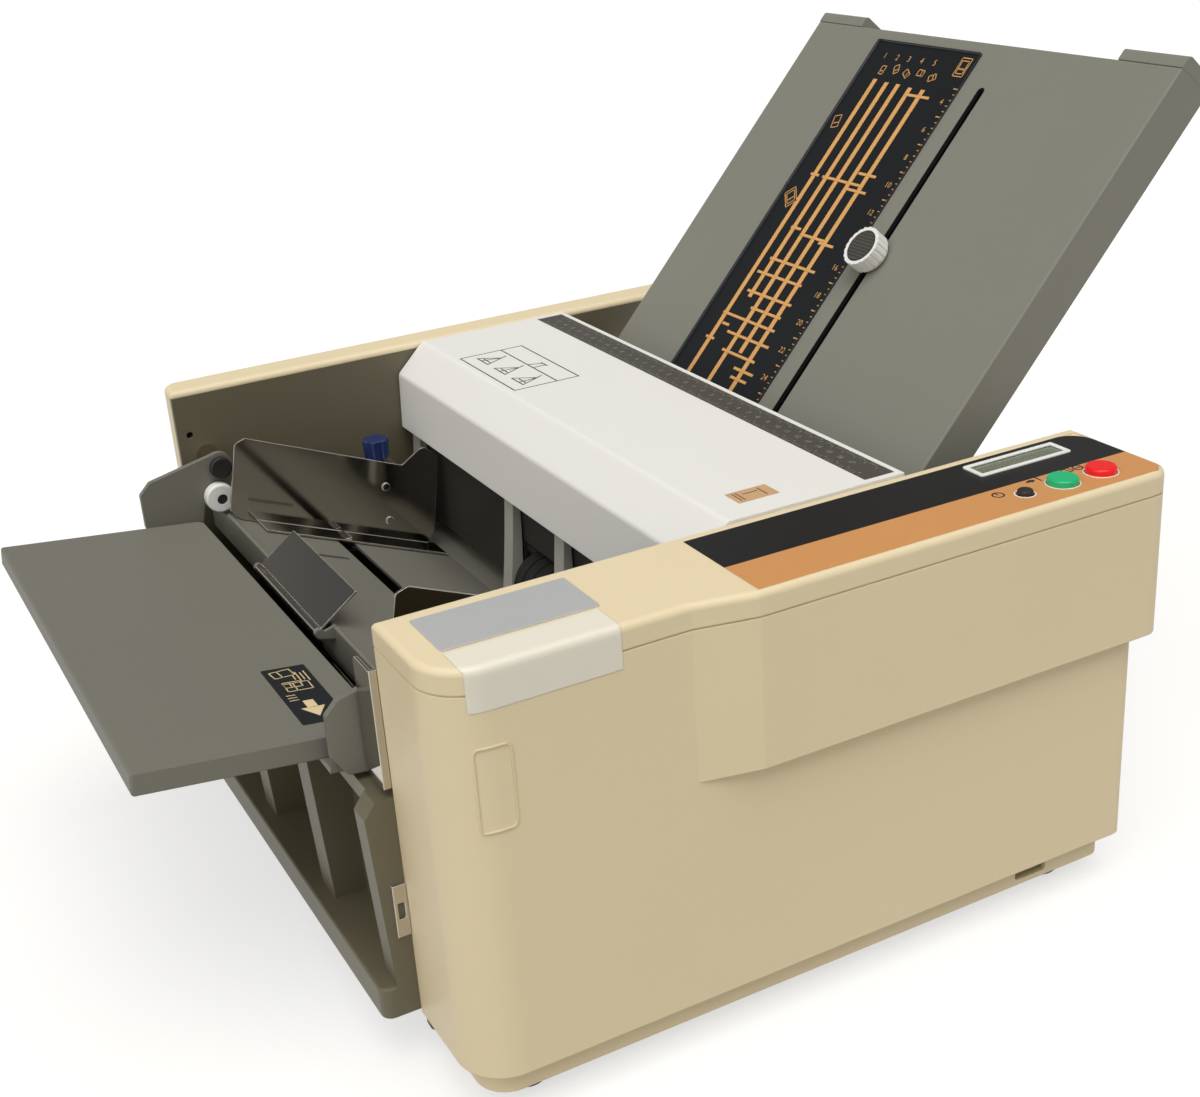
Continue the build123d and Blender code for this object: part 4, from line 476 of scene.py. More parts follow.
# %% Display finish
def display_finish(name):
    """Grey-green display with a faint grid of character cells."""
    finish = coated(name, from_screen(122, 130, 108), 0.24, drift=0.1, patch=30, depth=0.02, rub=0.0,
                    sheen_coat=0.8)
    tree = finish.node_tree
    shader = tree.nodes["Principled BSDF"]
    place = tree.nodes.new("ShaderNodeTexCoord")
    cells = tree.nodes.new("ShaderNodeTexBrick")
    cells.offset = 0.0
    for label, value in (("Color1", (1, 1, 1, 1)), ("Color2", (0.97, 0.97, 0.97, 1)),
                         ("Mortar", (0.86, 0.87, 0.86, 1)), ("Scale", 300), ("Mortar Size", 0.08)):
        cells.inputs[label].default_value = value
    tree.links.new(place.outputs["Object"], cells.inputs["Vector"])
    grid = tree.nodes.new("ShaderNodeMix")
    grid.data_type = "RGBA"
    grid.blend_type = "MULTIPLY"
    grid.inputs["Factor"].default_value = 1.0
    plain = shader.inputs["Base Color"].links[0].from_socket
    tree.links.new(plain, grid.inputs["A"])
    tree.links.new(cells.outputs["Color"], grid.inputs["B"])
    tree.links.new(grid.outputs["Result"], shader.inputs["Base Color"])
    return finish


finishes["display_green"] = display_finish("display_green")
print("display:", finishes["display_green"].name)

# %% [markdown]
# ## Finishes on the solids
#
# The frame's record names a material slot for every node. The solids could be
# dressed one by one, but each slot has a finish of the same name, so one loop does
# it and leaves none out. The upper fold plate and its caps get a paler copy of the
# tray's grey: painted light, because the sloping plate is lit more than the tray.

# %% Dress the solids
for part in frame["record"]["subparts"]:
    solid = nodes[part["node"]]
    for place in solid.material_slots:
        place.material = finishes[part["material_slot"]]
# painted light: the fold plate and its caps get a paler copy of the tray's grey
for name in ("upper_fold_plate", "fold_plate_caps"):
    nodes[name].material_slots[0].material = finishes["grey_paint_painted_light"]

# %% [markdown]
# ## Small helpers for the pieces
#
# Every new piece is made with the same few moves: add a primitive at its size and
# place, shape it, join what belongs together, and put its place into its mesh. The
# object then sits at the origin, as the solids do.


# %% Helpers for new pieces
def nothing_selected():
    """Operators act on all that is selected, so each piece starts with nothing selected."""
    bpy.ops.object.select_all(action="DESELECT")


def select_alone(piece):
    """Makes one piece the only selected one, and the active one."""
    nothing_selected()
    piece.select_set(True)
    bpy.context.view_layer.objects.active = piece


def put_place_in_mesh(piece, turn=None):
    """Moves a piece by a matrix if one is given, and applies its place to its mesh."""
    select_alone(piece)
    if turn is not None:
        piece.matrix_world = turn @ piece.matrix_world
    bpy.ops.object.transform_apply(location=True, rotation=True, scale=True)
    return piece


def modified(piece, kind, **settings):
    """Adds a modifier with its settings, and applies it."""
    modifier = piece.modifiers.new(kind.lower(), kind)
    for setting, value in settings.items():
        setattr(modifier, setting, value)
    select_alone(piece)
    bpy.ops.object.modifier_apply(modifier=modifier.name)
    return piece


def joined(name, pieces):
    """One object from several."""
    nothing_selected()
    for piece in pieces:
        piece.select_set(True)
    bpy.context.view_layer.objects.active = pieces[0]
    if len(pieces) > 1:
        bpy.ops.object.join()
    whole = bpy.context.object
    whole.name = name
    whole.data.name = name
    return whole


def choose(piece, kind, wanted):
    """Enters edit mode with only those edges or faces selected that are wanted."""
    bpy.ops.object.mode_set(mode="EDIT")
    bpy.ops.mesh.select_mode(type=kind)
    bpy.ops.mesh.select_all(action="DESELECT")
    bpy.ops.object.mode_set(mode="OBJECT")
    for item in piece.data.edges if kind == "EDGE" else piece.data.polygons:
        item.select = wanted(item)
    bpy.ops.object.mode_set(mode="EDIT")


def dressed(name, pieces, finish, body, turn=None):
    """Joins pieces, moves the whole by a matrix, and gives it its finish and its body."""
    piece = put_place_in_mesh(joined(name, pieces), turn)
    piece.data.materials.clear()
    piece.data.materials.append(finish)
    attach(piece, body)
    return piece


print("helpers ready")


# %% Slabs and rings
def slab(size, place, round_edge=0.0, round_corner=0.0):
    """A thin plate from a cube. Round corner turns its four upright corners, round edge its rims."""
    nothing_selected()
    bpy.ops.mesh.primitive_cube_add(size=1, location=place)
    piece = bpy.context.object
    piece.scale = size
    put_place_in_mesh(piece)
    if round_corner:
        bpy.ops.object.mode_set(mode="EDIT")
        bpy.ops.mesh.select_all(action="DESELECT")
        bpy.ops.object.mode_set(mode="OBJECT")
        for edge in piece.data.edges:
            first, last = (piece.data.vertices[index].co for index in edge.vertices)
            edge.select = abs(first.z - last.z) > 0.5 * size[2]
        bpy.ops.object.mode_set(mode="EDIT")
        bpy.ops.mesh.select_mode(type="EDGE")
        bpy.ops.mesh.bevel(offset=round_corner, segments=5)
        bpy.ops.object.mode_set(mode="OBJECT")
    if round_edge:
        modified(piece, "BEVEL", width=round_edge, segments=2, limit_method="ANGLE", angle_limit=radians(50))
    return piece


def ring(radius, tube, place, flat=0.4):
    """A flattened torus that lies on a surface."""
    nothing_selected()
    bpy.ops.mesh.primitive_torus_add(major_radius=radius, minor_radius=tube, major_segments=28, minor_segments=8,
                                     location=place)
    piece = bpy.context.object
    piece.scale = (1, 1, flat)
    return put_place_in_mesh(piece)


def repeated(piece, count, pitch):
    """A row of copies at an even pitch."""
    return modified(piece, "ARRAY", count=count, use_relative_offset=False, use_constant_offset=True,
                    constant_offset_displace=pitch)


def numeral(text, height, place, turn):
    """A printed number, as a thin mesh."""
    nothing_selected()
    bpy.ops.object.text_add(location=place, rotation=(0, 0, turn))
    piece = bpy.context.object
    piece.data.body = text
    piece.data.size = height
    piece.data.extrude = INK
    piece.data.align_x = "CENTER"
    piece.data.align_y = "CENTER"
    piece.data.resolution_u = 3
    bpy.ops.object.convert(target="MESH")
    return put_place_in_mesh(bpy.context.object)


def sloping_plane(origin, slope):
    """A plane that falls to the left. Its first axis runs down the slope, its second one to the front."""
    return Matrix.Translation(origin) @ Matrix(
        ((-cos(slope), 0, -sin(slope)), (0, -1, 0), (-sin(slope), 0, cos(slope)))).to_4x4()


INK = 0.04 * MM              # how far print stands up
FILM = 0.25 * MM             # a printed plastic film
PAPER_MIDDLE = 26 * MM       # middle of the paper, across the machine
print("ink", INK, "film", FILM)

# %% [markdown]
# ## The fold scale
#
# A dark film is glued to the upper fold plate, beside the slot. Long bars stand
# for the kinds of fold and short bars across them mark where the stop goes for
# each sheet. A ruler with numbers runs along the slot. An image could carry the
# print, but thin bars stay sharp from near by. They are drawn flat, with x down the
# slope and y across it, and are then laid on the plate.

# %% The plane of the upper fold plate
PLATE_TIP = (290.3 * MM, PAPER_MIDDLE, 416.2 * MM)
on_plate = sloping_plane(PLATE_TIP, radians(48))
FILM_TOP = 12 * MM           # the film's edge that is nearer to the slot
FILM_REAR = -92 * MM
FILM_START = 8 * MM
FILM_END = 343 * MM
gold_ink = coated("gold_ink", from_screen(224, 168, 100), 0.4, drift=0.12, patch=60, depth=0.04, rub=0.0)
film_black = coated("film_black", from_screen(23, 27, 31), 0.36, drift=0.12, patch=20, grain=2500, depth=0.05,
                    rub=0.1)
film_middle = (FILM_TOP + FILM_REAR) / 2
film = slab((FILM_END - FILM_START, FILM_TOP - FILM_REAR, FILM), ((FILM_START + FILM_END) / 2, film_middle, FILM / 2),
            round_corner=1.5 * MM)
dressed("fold_scale_film", [film], film_black, "machine_frame", on_plate)
print("film", round((FILM_END - FILM_START) / MM), "mm long")

# %% Bars of the fold scale
BAR_WIDTH = 4.1 * MM
# each long bar: place across the film, start and end along the slope, in millimetres
LONG_BARS = ((-71, 36, 268), (-58, 37, 200), (-46, 37, 343), (-33, 38, 236), (-20, 38, 343))
# each short bar: place along the slope, and its two ends across the film
SHORT_BARS = ((43, -34, -10), (101, -30, -12), (109, -75, -66), (109, -62, -18), (113, -34, -12),
              (147, -61, -50), (150, -48, -22), (152, -26, -10), (171, -62, -12), (182, -66, -16),
              (196, -64, -14), (206, -50, -16), (215, -74, -14), (222, -68, -60), (226, -58, -10),
              (234, -76, -66), (238, -52, -14), (246, -30, -8), (252, -28, -10), (268, -72, -44),
              (268, -36, -8), (277, -40, -12), (284, -74, -50), (284, -40, -12), (291, -34, -12),
              (300, -60, -54), (300, -36, -10), (310, -58, -20), (316, -36, -12), (322, -58, -52),
              (322, -40, -14), (330, -50, -18), (336, -46, -12))
bars = []
for across, first, last in LONG_BARS:
    bars.append(slab(((last - first) * MM, BAR_WIDTH, 2 * INK), ((first + last) / 2 * MM, across * MM, FILM + INK)))
for along, first, last in SHORT_BARS:
    bars.append(slab((1.9 * MM, (last - first) * MM, 2 * INK),
                     (along * MM, (first + last) / 2 * MM, FILM + 1.5 * INK)))
print("bars:", len(bars))

# %% Ruler of the fold scale
TICK_START = 34 * MM
ticks = [repeated(slab((0.6 * MM, 3.0 * MM, 2 * INK), (TICK_START, 10.0 * MM, FILM + INK)), 78, (4 * MM, 0, 0)),
         repeated(slab((0.9 * MM, 5.4 * MM, 2 * INK), (TICK_START, 8.8 * MM, FILM + INK)), 16, (20 * MM, 0, 0))]
for count in range(15):
    middle = (TICK_START + (10 + 20 * count) * MM, 3.0 * MM, FILM + INK)
    ticks.append(numeral(str(4 + 2 * count), 5.6 * MM, middle, pi / 2))
print("ruler marks:", len(ticks))


# %% Small signs of the fold scale
def folded_sheet(place, width, turn):
    """A pictogram of a folded sheet: a frame and a crease, drawn with thin bars."""
    line = 0.7 * MM
    parts = []
    for dx, dy, long_x, long_y in ((0, 0.5, 1, 0), (0, -0.5, 1, 0), (0.5, 0, 0, 1), (-0.5, 0, 0, 1), (0.12, 0, 0, 1)):
        parts.append(slab((long_x * width + line, long_y * width * 0.7 + line, 2 * INK),
                          (dx * width, dy * width * 0.7, INK)))
    sign = joined("sign", parts)
    return put_place_in_mesh(sign, Matrix.Translation(place) @ Matrix.Rotation(turn, 4, "Z"))


signs = [folded_sheet(((29 - 2 * (step % 2)) * MM, across * MM, FILM), 6 * MM, 0.5 * step)
         for step, across in enumerate((-70, -57, -45, -32, -19))]
signs += [folded_sheet((19 * MM, 2 * MM, FILM), 13 * MM, 0), folded_sheet((19 * MM, 2 * MM, FILM), 9 * MM, 0),
          folded_sheet((70 * MM, -83 * MM, FILM), 9 * MM, 0.3), folded_sheet((128 * MM, -80 * MM, FILM), 13 * MM, 0.8),
          folded_sheet((128 * MM, -80 * MM, FILM), 9 * MM, 0.8)]
for across, text in ((-76, "1"), (-63, "2"), (-51, "3"), (-38, "4"), (-25, "5")):
    signs.append(numeral(text, 6 * MM, (19 * MM, across * MM, FILM + INK), pi / 2))
scale_print = dressed("fold_scale_print", bars + ticks + signs, gold_ink, "machine_frame", on_plate)
print("faces of the print:", len(scale_print.data.polygons))

# %% [markdown]
# ## Under the slot
#
# The stop is clamped through a long slot. A black strip in the channel below it and
# a thin black edging along its walls are painted shade, so it reads as a dark line.
# Both are pieces of their own, because the plate around them keeps its grey paint.

# %% Strip under the slot
CHANNEL_FLOOR = -8 * MM
SLOT_ALONG, SLOT_ACROSS = 182.5 * MM, 30 * MM       # middle of the slot, in the plane of the plate
# painted shade: a black strip on the channel floor under the slot
strip = slab((317 * MM, 24 * MM, 0.2 * MM), (SLOT_ALONG, SLOT_ACROSS, CHANNEL_FLOOR + 0.1 * MM), round_corner=3 * MM)
dressed("slot_shade_strip", [strip], finishes["painted_slot_shade"], "machine_frame", on_plate)
print("strip:", len(strip.data.polygons), "faces")

# %% Edging of the slot
# painted shade: a black lining on the walls of the slot
edging = slab((304.9 * MM, 5.9 * MM, 2.9 * MM), (SLOT_ALONG, SLOT_ACROSS, -1.5 * MM), round_corner=2.9 * MM)
choose(edging, "FACE", lambda side: abs(side.normal.z) > 0.9)
bpy.ops.mesh.delete(type="FACE")
bpy.ops.object.mode_set(mode="OBJECT")
modified(edging, "SOLIDIFY", thickness=0.3 * MM, offset=-1)
dressed("slot_shade_edging", [edging], finishes["painted_slot_shade"], "machine_frame", on_plate)
print("edging:", len(edging.data.vertices), "points")

# %% [markdown]
# ## The stop knob's face
#
# The white knob has a dark disc let into its top. The disc is a cylinder with a
# softened rim, and two rows of thin, paler bars stand for the cuts that cross it.
# Cuts could be taken out of the disc, but bars show as well and need few faces.

# %% Face of the stop knob
KNOB_ALONG = 150 * MM
FACE_RADIUS = 10.4 * MM
FACE_DEPTH = 0.7 * MM
FACE_TOP = 12.75 * MM        # above the plate
CUT_PITCH = 2.1 * MM
CUT_WIDTH = 0.8 * MM
nothing_selected()
bpy.ops.mesh.primitive_cylinder_add(vertices=48, radius=FACE_RADIUS, depth=FACE_DEPTH,
                                    location=(KNOB_ALONG, SLOT_ACROSS, FACE_TOP - FACE_DEPTH / 2))
face = bpy.context.object
put_place_in_mesh(face)
modified(face, "BEVEL", width=0.2 * MM, segments=2)
cuts = []
for step in range(-4, 5):
    aside = CUT_PITCH * step
    reach = 2 * (FACE_RADIUS ** 2 - aside ** 2) ** 0.5 - 1.2 * MM
    cut_top = FACE_TOP + 0.03 * MM
    cuts.append(slab((reach, CUT_WIDTH, 0.12 * MM), (KNOB_ALONG, SLOT_ACROSS + aside, cut_top)))
    cuts.append(slab((CUT_WIDTH, reach, 0.12 * MM), (KNOB_ALONG + aside, SLOT_ACROSS, cut_top)))
cut_grey = coated("cut_grey", from_screen(96, 94, 88), 0.5, drift=0.3, patch=200, rub=0.0)
dressed("stop_knob_face", [face], finishes["black_plastic"], "stop_knob_group", on_plate)
dressed("stop_knob_cuts", cuts, cut_grey, "stop_knob_group", on_plate)
print("knob face", round(2 * FACE_RADIUS / MM, 1), "mm wide")

# %% [markdown]
# ## The ruler on the white cover
#
# A dark ruler lies in a shallow recess along the rear of the cover. It helps to
# set the side guides, so it counts outwards from the middle. Each row of marks is
# one bar that an array modifier repeats, which is quicker than adding every mark.

# %% Ruler film
cover_low, cover_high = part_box("top_cover")
RULER_MIDDLE_X = cover_high[0] - 12.5 * MM
RULER_WIDTH = 18.6 * MM
RULER_REACH = 180 * MM       # how far the marks go to either side
ruler_top = cover_high[2] - 0.4 * MM + FILM
ruler_length = cover_high[1] - cover_low[1] - 9 * MM
ruler_grey = coated("ruler_grey", from_screen(79, 76, 71), 0.42, drift=0.2, patch=40, grain=2500, depth=0.06,
                    rub=0.1)
pale_ink = coated("pale_ink", from_screen(168, 164, 152), 0.5, drift=0.1, patch=60, depth=0.03, rub=0.0)
ruler_film = slab((RULER_WIDTH, ruler_length, FILM), (RULER_MIDDLE_X, PAPER_MIDDLE, ruler_top - FILM / 2),
                  round_edge=0.08 * MM)
dressed("cover_ruler_film", [ruler_film], ruler_grey, "cover_group")
print("ruler", round(ruler_length / MM), "mm long")

# %% Ruler print
ruler_marks = []
for side_x, sign in ((-1, 1), (1, -1)):
    edge_x = RULER_MIDDLE_X + side_x * (RULER_WIDTH / 2 - 0.8 * MM)
    for length, width, pitch in ((2.2 * MM, 0.35 * MM, 2.5 * MM), (4.0 * MM, 0.5 * MM, 10 * MM)):
        first = (edge_x + sign * length / 2, PAPER_MIDDLE - RULER_REACH, ruler_top + INK)
        mark = slab((length, width, 2 * INK), first)
        ruler_marks.append(repeated(mark, round(2 * RULER_REACH / pitch) + 1, (0, pitch, 0)))
for count in range(-17, 18):
    ruler_marks.append(numeral(str(abs(count)), 4.4 * MM,
                               (RULER_MIDDLE_X, PAPER_MIDDLE + count * 10 * MM + 5 * MM, ruler_top + INK), -pi / 2))
ruler_print = dressed("cover_ruler_print", ruler_marks, pale_ink, "cover_group")
print("faces of the ruler print:", len(ruler_print.data.polygons))

# %% [markdown]
# ## The label on the white cover
#
# A line drawing shows where the paper goes: a frame, a divider and a few folded
# sheets. It is generic. A curve could be given a thickness, but a helper that lays
# a thin bar between two places is simpler, and keeps every line equally high.

# %% Cover label
LABEL_LEFT, LABEL_RIGHT = -14 * MM, 30 * MM
LABEL_FRONT, LABEL_REAR = 84 * MM, 166 * MM
LINE = 0.85 * MM
label_ink = coated("label_ink", from_screen(34, 36, 44), 0.5, drift=0.1, depth=0.03, rub=0.0)
cover_top = cover_high[2]


def line_on_cover(start, end):
    """A thin printed line between two places on the cover's top."""
    first, last = Vector(start), Vector(end)
    run = last - first
    piece = slab((run.length + LINE, LINE, 2 * INK), (0, 0, 0))
    middle = (first + last) / 2
    turn = Matrix.Rotation(-Vector((1, 0)).angle_signed(run), 4, "Z")
    return put_place_in_mesh(piece, Matrix.Translation((middle.x, middle.y, cover_top + INK)) @ turn)


divider = LABEL_LEFT + 0.66 * (LABEL_RIGHT - LABEL_LEFT)
lines = [line_on_cover(*ends) for ends in (
    ((LABEL_LEFT, LABEL_FRONT), (LABEL_RIGHT, LABEL_FRONT)), ((LABEL_RIGHT, LABEL_FRONT), (LABEL_RIGHT, LABEL_REAR)),
    ((LABEL_RIGHT, LABEL_REAR), (LABEL_LEFT, LABEL_REAR)), ((LABEL_LEFT, LABEL_REAR), (LABEL_LEFT, LABEL_FRONT)),
    ((divider, LABEL_FRONT), (divider, LABEL_REAR)))]
for step in range(3):
    middle = Vector((LABEL_LEFT + 15 * MM, LABEL_REAR - (15 + 26 * step) * MM))
    # two ends of each line of a folded sheet, from its middle and in millimetres
    for start, end in (((-6, 8), (-6, -8)), ((-6, -8), (11, 1)), ((7, -1), (-6, 8)), ((7, -1), (-6, 2 - 2 * step)),
                       ((-3, 4), (-3, -5))):
        lines.append(line_on_cover(middle + Vector(start) * MM, middle + Vector(end) * MM))
lines += [line_on_cover((divider, 118 * MM), (divider + 9 * MM, 118 * MM)),
          line_on_cover((divider, 126 * MM), (divider + 9 * MM, 122 * MM)),
          line_on_cover((divider + 9 * MM, 116 * MM), (divider + 9 * MM, 124 * MM))]
dressed("cover_label", lines, label_ink, "cover_group")
print("lines of the label:", len(lines))

# %% Tag on the cover
TAG_AT = (10 * MM, -145 * MM)
tag_tan = coated("tag_tan", from_screen(206, 166, 122), 0.5, drift=0.12, patch=90, depth=0.05, rub=0.1)
tag = slab((24 * MM, 14 * MM, FILM), (TAG_AT[0], TAG_AT[1], cover_top + FILM / 2), round_corner=0.6 * MM)
dressed("cover_tag", [tag], tag_tan, "cover_group")
tag_marks = [slab((0.5 * MM, 10 * MM, 2 * INK), (TAG_AT[0] + shift * MM, TAG_AT[1], cover_top + FILM + INK))
             for shift in (-9, -7, 6)]
tag_marks.append(slab((9 * MM, 0.5 * MM, 2 * INK), (TAG_AT[0], TAG_AT[1] + 2 * MM, cover_top + FILM + INK)))
dressed("cover_tag_print", tag_marks, label_ink, "cover_group")
print("tag at", TAG_AT)

# %% [markdown]
# ## The label on the feed tray
#
# A black label near the tray's front corner shows a sheet, a stack and the way the
# paper goes. It is drawn flat in the plane of the tray, like the fold scale. The
# tray rises to the left, so its slope is negative.

# %% The plane of the tray
TRAY_EDGE = (-193 * MM, PAPER_MIDDLE, 166.5 * MM)
on_tray = sloping_plane(TRAY_EDGE, radians(-6.5))
LABEL_MIDDLE = (24.5 * MM, 108 * MM)
label = slab((23 * MM, 67 * MM, FILM), (LABEL_MIDDLE[0], LABEL_MIDDLE[1], FILM / 2), round_corner=1 * MM)
dressed("tray_label", [label], film_black, "tray_group", on_tray)
print("label on the tray:", LABEL_MIDDLE)


# %% Print of the tray label
def arrow(place, length, turn):
    """A filled arrow: a flat three-sided prism for the head and a bar for the shaft."""
    nothing_selected()
    bpy.ops.mesh.primitive_cylinder_add(vertices=3, radius=0.42 * length, depth=2 * INK,
                                        location=(0.22 * length, 0, INK), rotation=(0, 0, -pi / 2))
    head = put_place_in_mesh(bpy.context.object)
    shaft = slab((0.5 * length, 0.32 * length, 2 * INK), (-0.22 * length, 0, INK))
    return put_place_in_mesh(joined("arrow", [head, shaft]), Matrix.Translation(place) @ Matrix.Rotation(turn, 4, "Z"))


label_marks = [folded_sheet((27 * MM, 82 * MM, FILM), 11 * MM, 0.15),
               folded_sheet((26 * MM, 96 * MM, FILM), 9 * MM, 0),
               folded_sheet((24 * MM, 99 * MM, FILM), 13 * MM, 0),
               arrow((25 * MM, 124 * MM, FILM), 17 * MM, pi / 2)]
for step, reach in enumerate((12, 9, 12, 6)):
    label_marks.append(slab((0.7 * MM, reach * MM, 2 * INK), ((16 + 2.2 * step) * MM, 88 * MM, FILM + INK)))
for step in range(3):
    label_marks.append(slab((5 * MM, 0.7 * MM, 2 * INK), (31 * MM, (108 + 3 * step) * MM, FILM + INK)))
cream_ink = coated("cream_ink", from_screen(228, 206, 160), 0.4, drift=0.08, patch=60, depth=0.03, rub=0.0)
dressed("tray_label_print", label_marks, cream_ink, "tray_group", on_tray)
print("marks on the tray label:", len(label_marks))

# %% [markdown]
# ## Marks on the control panel
#
# Thin pale rims frame the three buttons. The small dark signs beside them are
# generic: an arrow, a folded sheet, rings and bars. A font could hold such signs,
# but flattened rings and bars are made with the helpers that are already here.

# %% Rims round the buttons
panel_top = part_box("key_panel")[1][2]
BUTTON_ROW = -226.5 * MM
rims = [ring(radius * MM, 0.4 * MM, (along * MM, BUTTON_ROW, panel_top), flat=0.7)
        for along, radius in ((141, 8.7), (166, 8.7), (117, 5.2))]
dressed("button_rims", rims, finishes["white_plastic"], "machine_frame")
bpy.ops.object.shade_smooth_by_angle(angle=radians(50))
print("rims:", len(rims))

# %% Signs beside the buttons
SIGN_ROW = -215.6 * MM
SIGN = 5.4 * MM
signs = [arrow((129.5 * MM, SIGN_ROW, panel_top), SIGN, 0),
         slab((0.9 * MM, SIGN, 2 * INK), (134.8 * MM, SIGN_ROW, panel_top + INK)),
         folded_sheet((153 * MM, SIGN_ROW, panel_top), 6.4 * MM, 0.2),
         ring(2.6 * MM, 0.45 * MM, (160.6 * MM, SIGN_ROW, panel_top)),
         slab((3.6 * MM, 0.8 * MM, 2 * INK), (160.6 * MM, SIGN_ROW, panel_top + INK)),
         ring(2.9 * MM, 0.45 * MM, (105.5 * MM, -220 * MM, panel_top)),
         slab((0.8 * MM, 3.8 * MM, 2 * INK), (105.5 * MM, -218.3 * MM, panel_top + INK))]
dressed("panel_signs", signs, label_ink, "machine_frame")
print("signs:", len(signs))

# %% [markdown]
# ## Caps, plugs and bolts
#
# Black caps sit over the pivots of the tray, black plugs fill the middle of the
# cam wheels, and bolt heads show on the outside of the table's raised edge. All
# are turned parts that differ only in size. A profile could be spun for each, but a
# cylinder with an inset face and a bevelled rim gives the same head.


# %% Turned heads
def turned_head(radius, height, place, axis):
    """A round head with a softened rim and a shallow dish, turned about an axis."""
    nothing_selected()
    bpy.ops.mesh.primitive_cylinder_add(vertices=40, radius=radius, depth=height)
    head = bpy.context.object
    choose(head, "FACE", lambda side: side.normal.z > 0.9)
    bpy.ops.mesh.inset(thickness=0.45 * radius, depth=-0.12 * height)
    bpy.ops.object.mode_set(mode="OBJECT")
    modified(head, "BEVEL", width=0.25 * height, segments=3, limit_method="ANGLE")
    bpy.ops.object.shade_smooth_by_angle(angle=radians(40))
    turn = Vector(axis).to_track_quat("Z", "Y").to_matrix().to_4x4()
    return put_place_in_mesh(head, Matrix.Translation(place) @ turn)


TRAY_PIVOT = (-174 * MM, 196 * MM)
# rear and front: the cap's place across the machine in millimetres, and the way it faces
caps = [turned_head(7.1 * MM, 5.4 * MM, (TRAY_PIVOT[0], side_y * MM, TRAY_PIVOT[1]), (0, inward, 0))
        for side_y, inward in ((190.8, -1), (-138.8, 1))]
dressed("pivot_caps", caps, finishes["black_plastic"], "machine_frame")
print("caps:", len(caps))

# %% Plugs and bolts
WHEEL_MIDDLE = (-177.2 * MM, 176.7 * MM)
plugs = [turned_head(3.3 * MM, 2.2 * MM, (WHEEL_MIDDLE[0], side_y * MM, WHEEL_MIDDLE[1]), (0, inward, 0))
         for side_y, inward in ((187.2, -1), (-135.2, 1))]
dressed("cam_wheel_plugs", plugs, finishes["black_plastic"], "machine_frame")
table_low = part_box("feed_table")[0]
# the bolts, by their places across the machine in millimetres
bolts = [turned_head(3.0 * MM, 1.8 * MM, (table_low[0] - 0.9 * MM, side_y * MM, 154 * MM), (-1, 0, 0))
         for side_y in (152, 112, -60, -100)]
dressed("table_bolts", bolts, finishes["gear_steel"], "machine_frame")
print("plugs:", len(plugs), "bolts:", len(bolts), "table edge at", round(table_low[0], 4))

# %% [markdown]
# ## Marks on the mains switch and screws in the right-hand end
#
# The rocker carries a bar and a ring, which are common to all switches. Its two
# faces slope, so each mark is drawn flat and laid on its own face. The screws are
# the turned heads again, and two dark bars on each are painted shade in the cross cut.

# %% Marks on the rocker
rocker_low, rocker_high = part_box("power_rocker")
switch_y = (rocker_low[1] + rocker_high[1]) / 2


def on_rocker(out, height, lean):
    """The plane of one face of the rocker, which leans back by an angle. Its second axis runs up the face."""
    return Matrix(((0, -sin(lean), cos(lean), out), (1, 0, 0, switch_y), (0, cos(lean), sin(lean), height),
                   (0, 0, 0, 1)))


# each mark: how far out and how high its face is, and how far the face leans back
bar_mark = put_place_in_mesh(slab((0.5 * MM, 2.2 * MM, 2 * INK), (0, 0, INK)),
                             on_rocker(186.4 * MM, 79.7 * MM, radians(5)))
ring_mark = put_place_in_mesh(ring(0.95 * MM, 0.2 * MM, (0, 0, 0)),
                              on_rocker(187.4 * MM, 84.1 * MM, radians(-29.74)))
dressed("rocker_marks", [bar_mark, ring_mark], finishes["white_plastic"], "rocker_group")
print("marks on the rocker at", round(switch_y, 4))

# %% Screws in the right-hand end
SCREW_X = 186.5 * MM
places = [(SCREW_X, across * MM, height * MM)
          for across, height in ((-224, 108), (-224, 40), (-181, 108), (-181, 40), (233, 60), (233, 200))]
heads = [turned_head(3.2 * MM, 1.4 * MM, place, (1, 0, 0)) for place in places]
dressed("end_screws", heads, finishes["gear_steel"], "machine_frame")
# two dark bars on each screw: painted shade in the cross cut
cross_cut_shades = []
for place in places:
    middle = (place[0] + 0.6 * MM, place[1], place[2])
    cross_cut_shades.append(slab((0.2 * MM, 3.0 * MM, 0.7 * MM), middle))
    cross_cut_shades.append(slab((0.2 * MM, 0.7 * MM, 3.0 * MM), middle))
dressed("screw_cut_shade", cross_cut_shades, finishes["black_plastic"], "machine_frame")
print("screws:", len(heads))

# %% [markdown]
# ## Plates and stickers on the housing
#
# The lid carries a thin metal plate and a white sticker that is folded over the
# lid's edge, and a moulded outline stands on the front. All are left bare. Sticker
# and outline could be fitted to the rounded edges by hand. Instead they start flat,
# the sticker bent in an L, and a shrinkwrap modifier lays them on the housing.

# %% Badge plate
lid_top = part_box("front_lid")[1][2]
badge = slab((77 * MM, 36 * MM, 0.8 * MM), (-153.5 * MM, -197.5 * MM, lid_top + 0.4 * MM), round_edge=0.2 * MM,
             round_corner=1.2 * MM)
dressed("badge_plate", [badge], finishes["badge_silver"], "machine_frame")
print("badge on", round(lid_top / MM), "mm")

# %% What the sticker and the outline lie on
nothing_selected()
for name in ("front_lid", "front_cover"):
    nodes[name].select_set(True)
bpy.context.view_layer.objects.active = nodes["front_lid"]
bpy.ops.object.duplicate()
shells = joined("shells", list(bpy.context.selected_objects))
print("copy of the shells:", len(shells.data.polygons), "triangles")


# %% Sticker over the edge
def laid_on_shell(piece, lift):
    """Presses a piece onto the housing, a little above the surface."""
    return modified(piece, "SHRINKWRAP", target=shells, wrap_method="NEAREST_SURFACEPOINT",
                    wrap_mode="ABOVE_SURFACE", offset=lift)


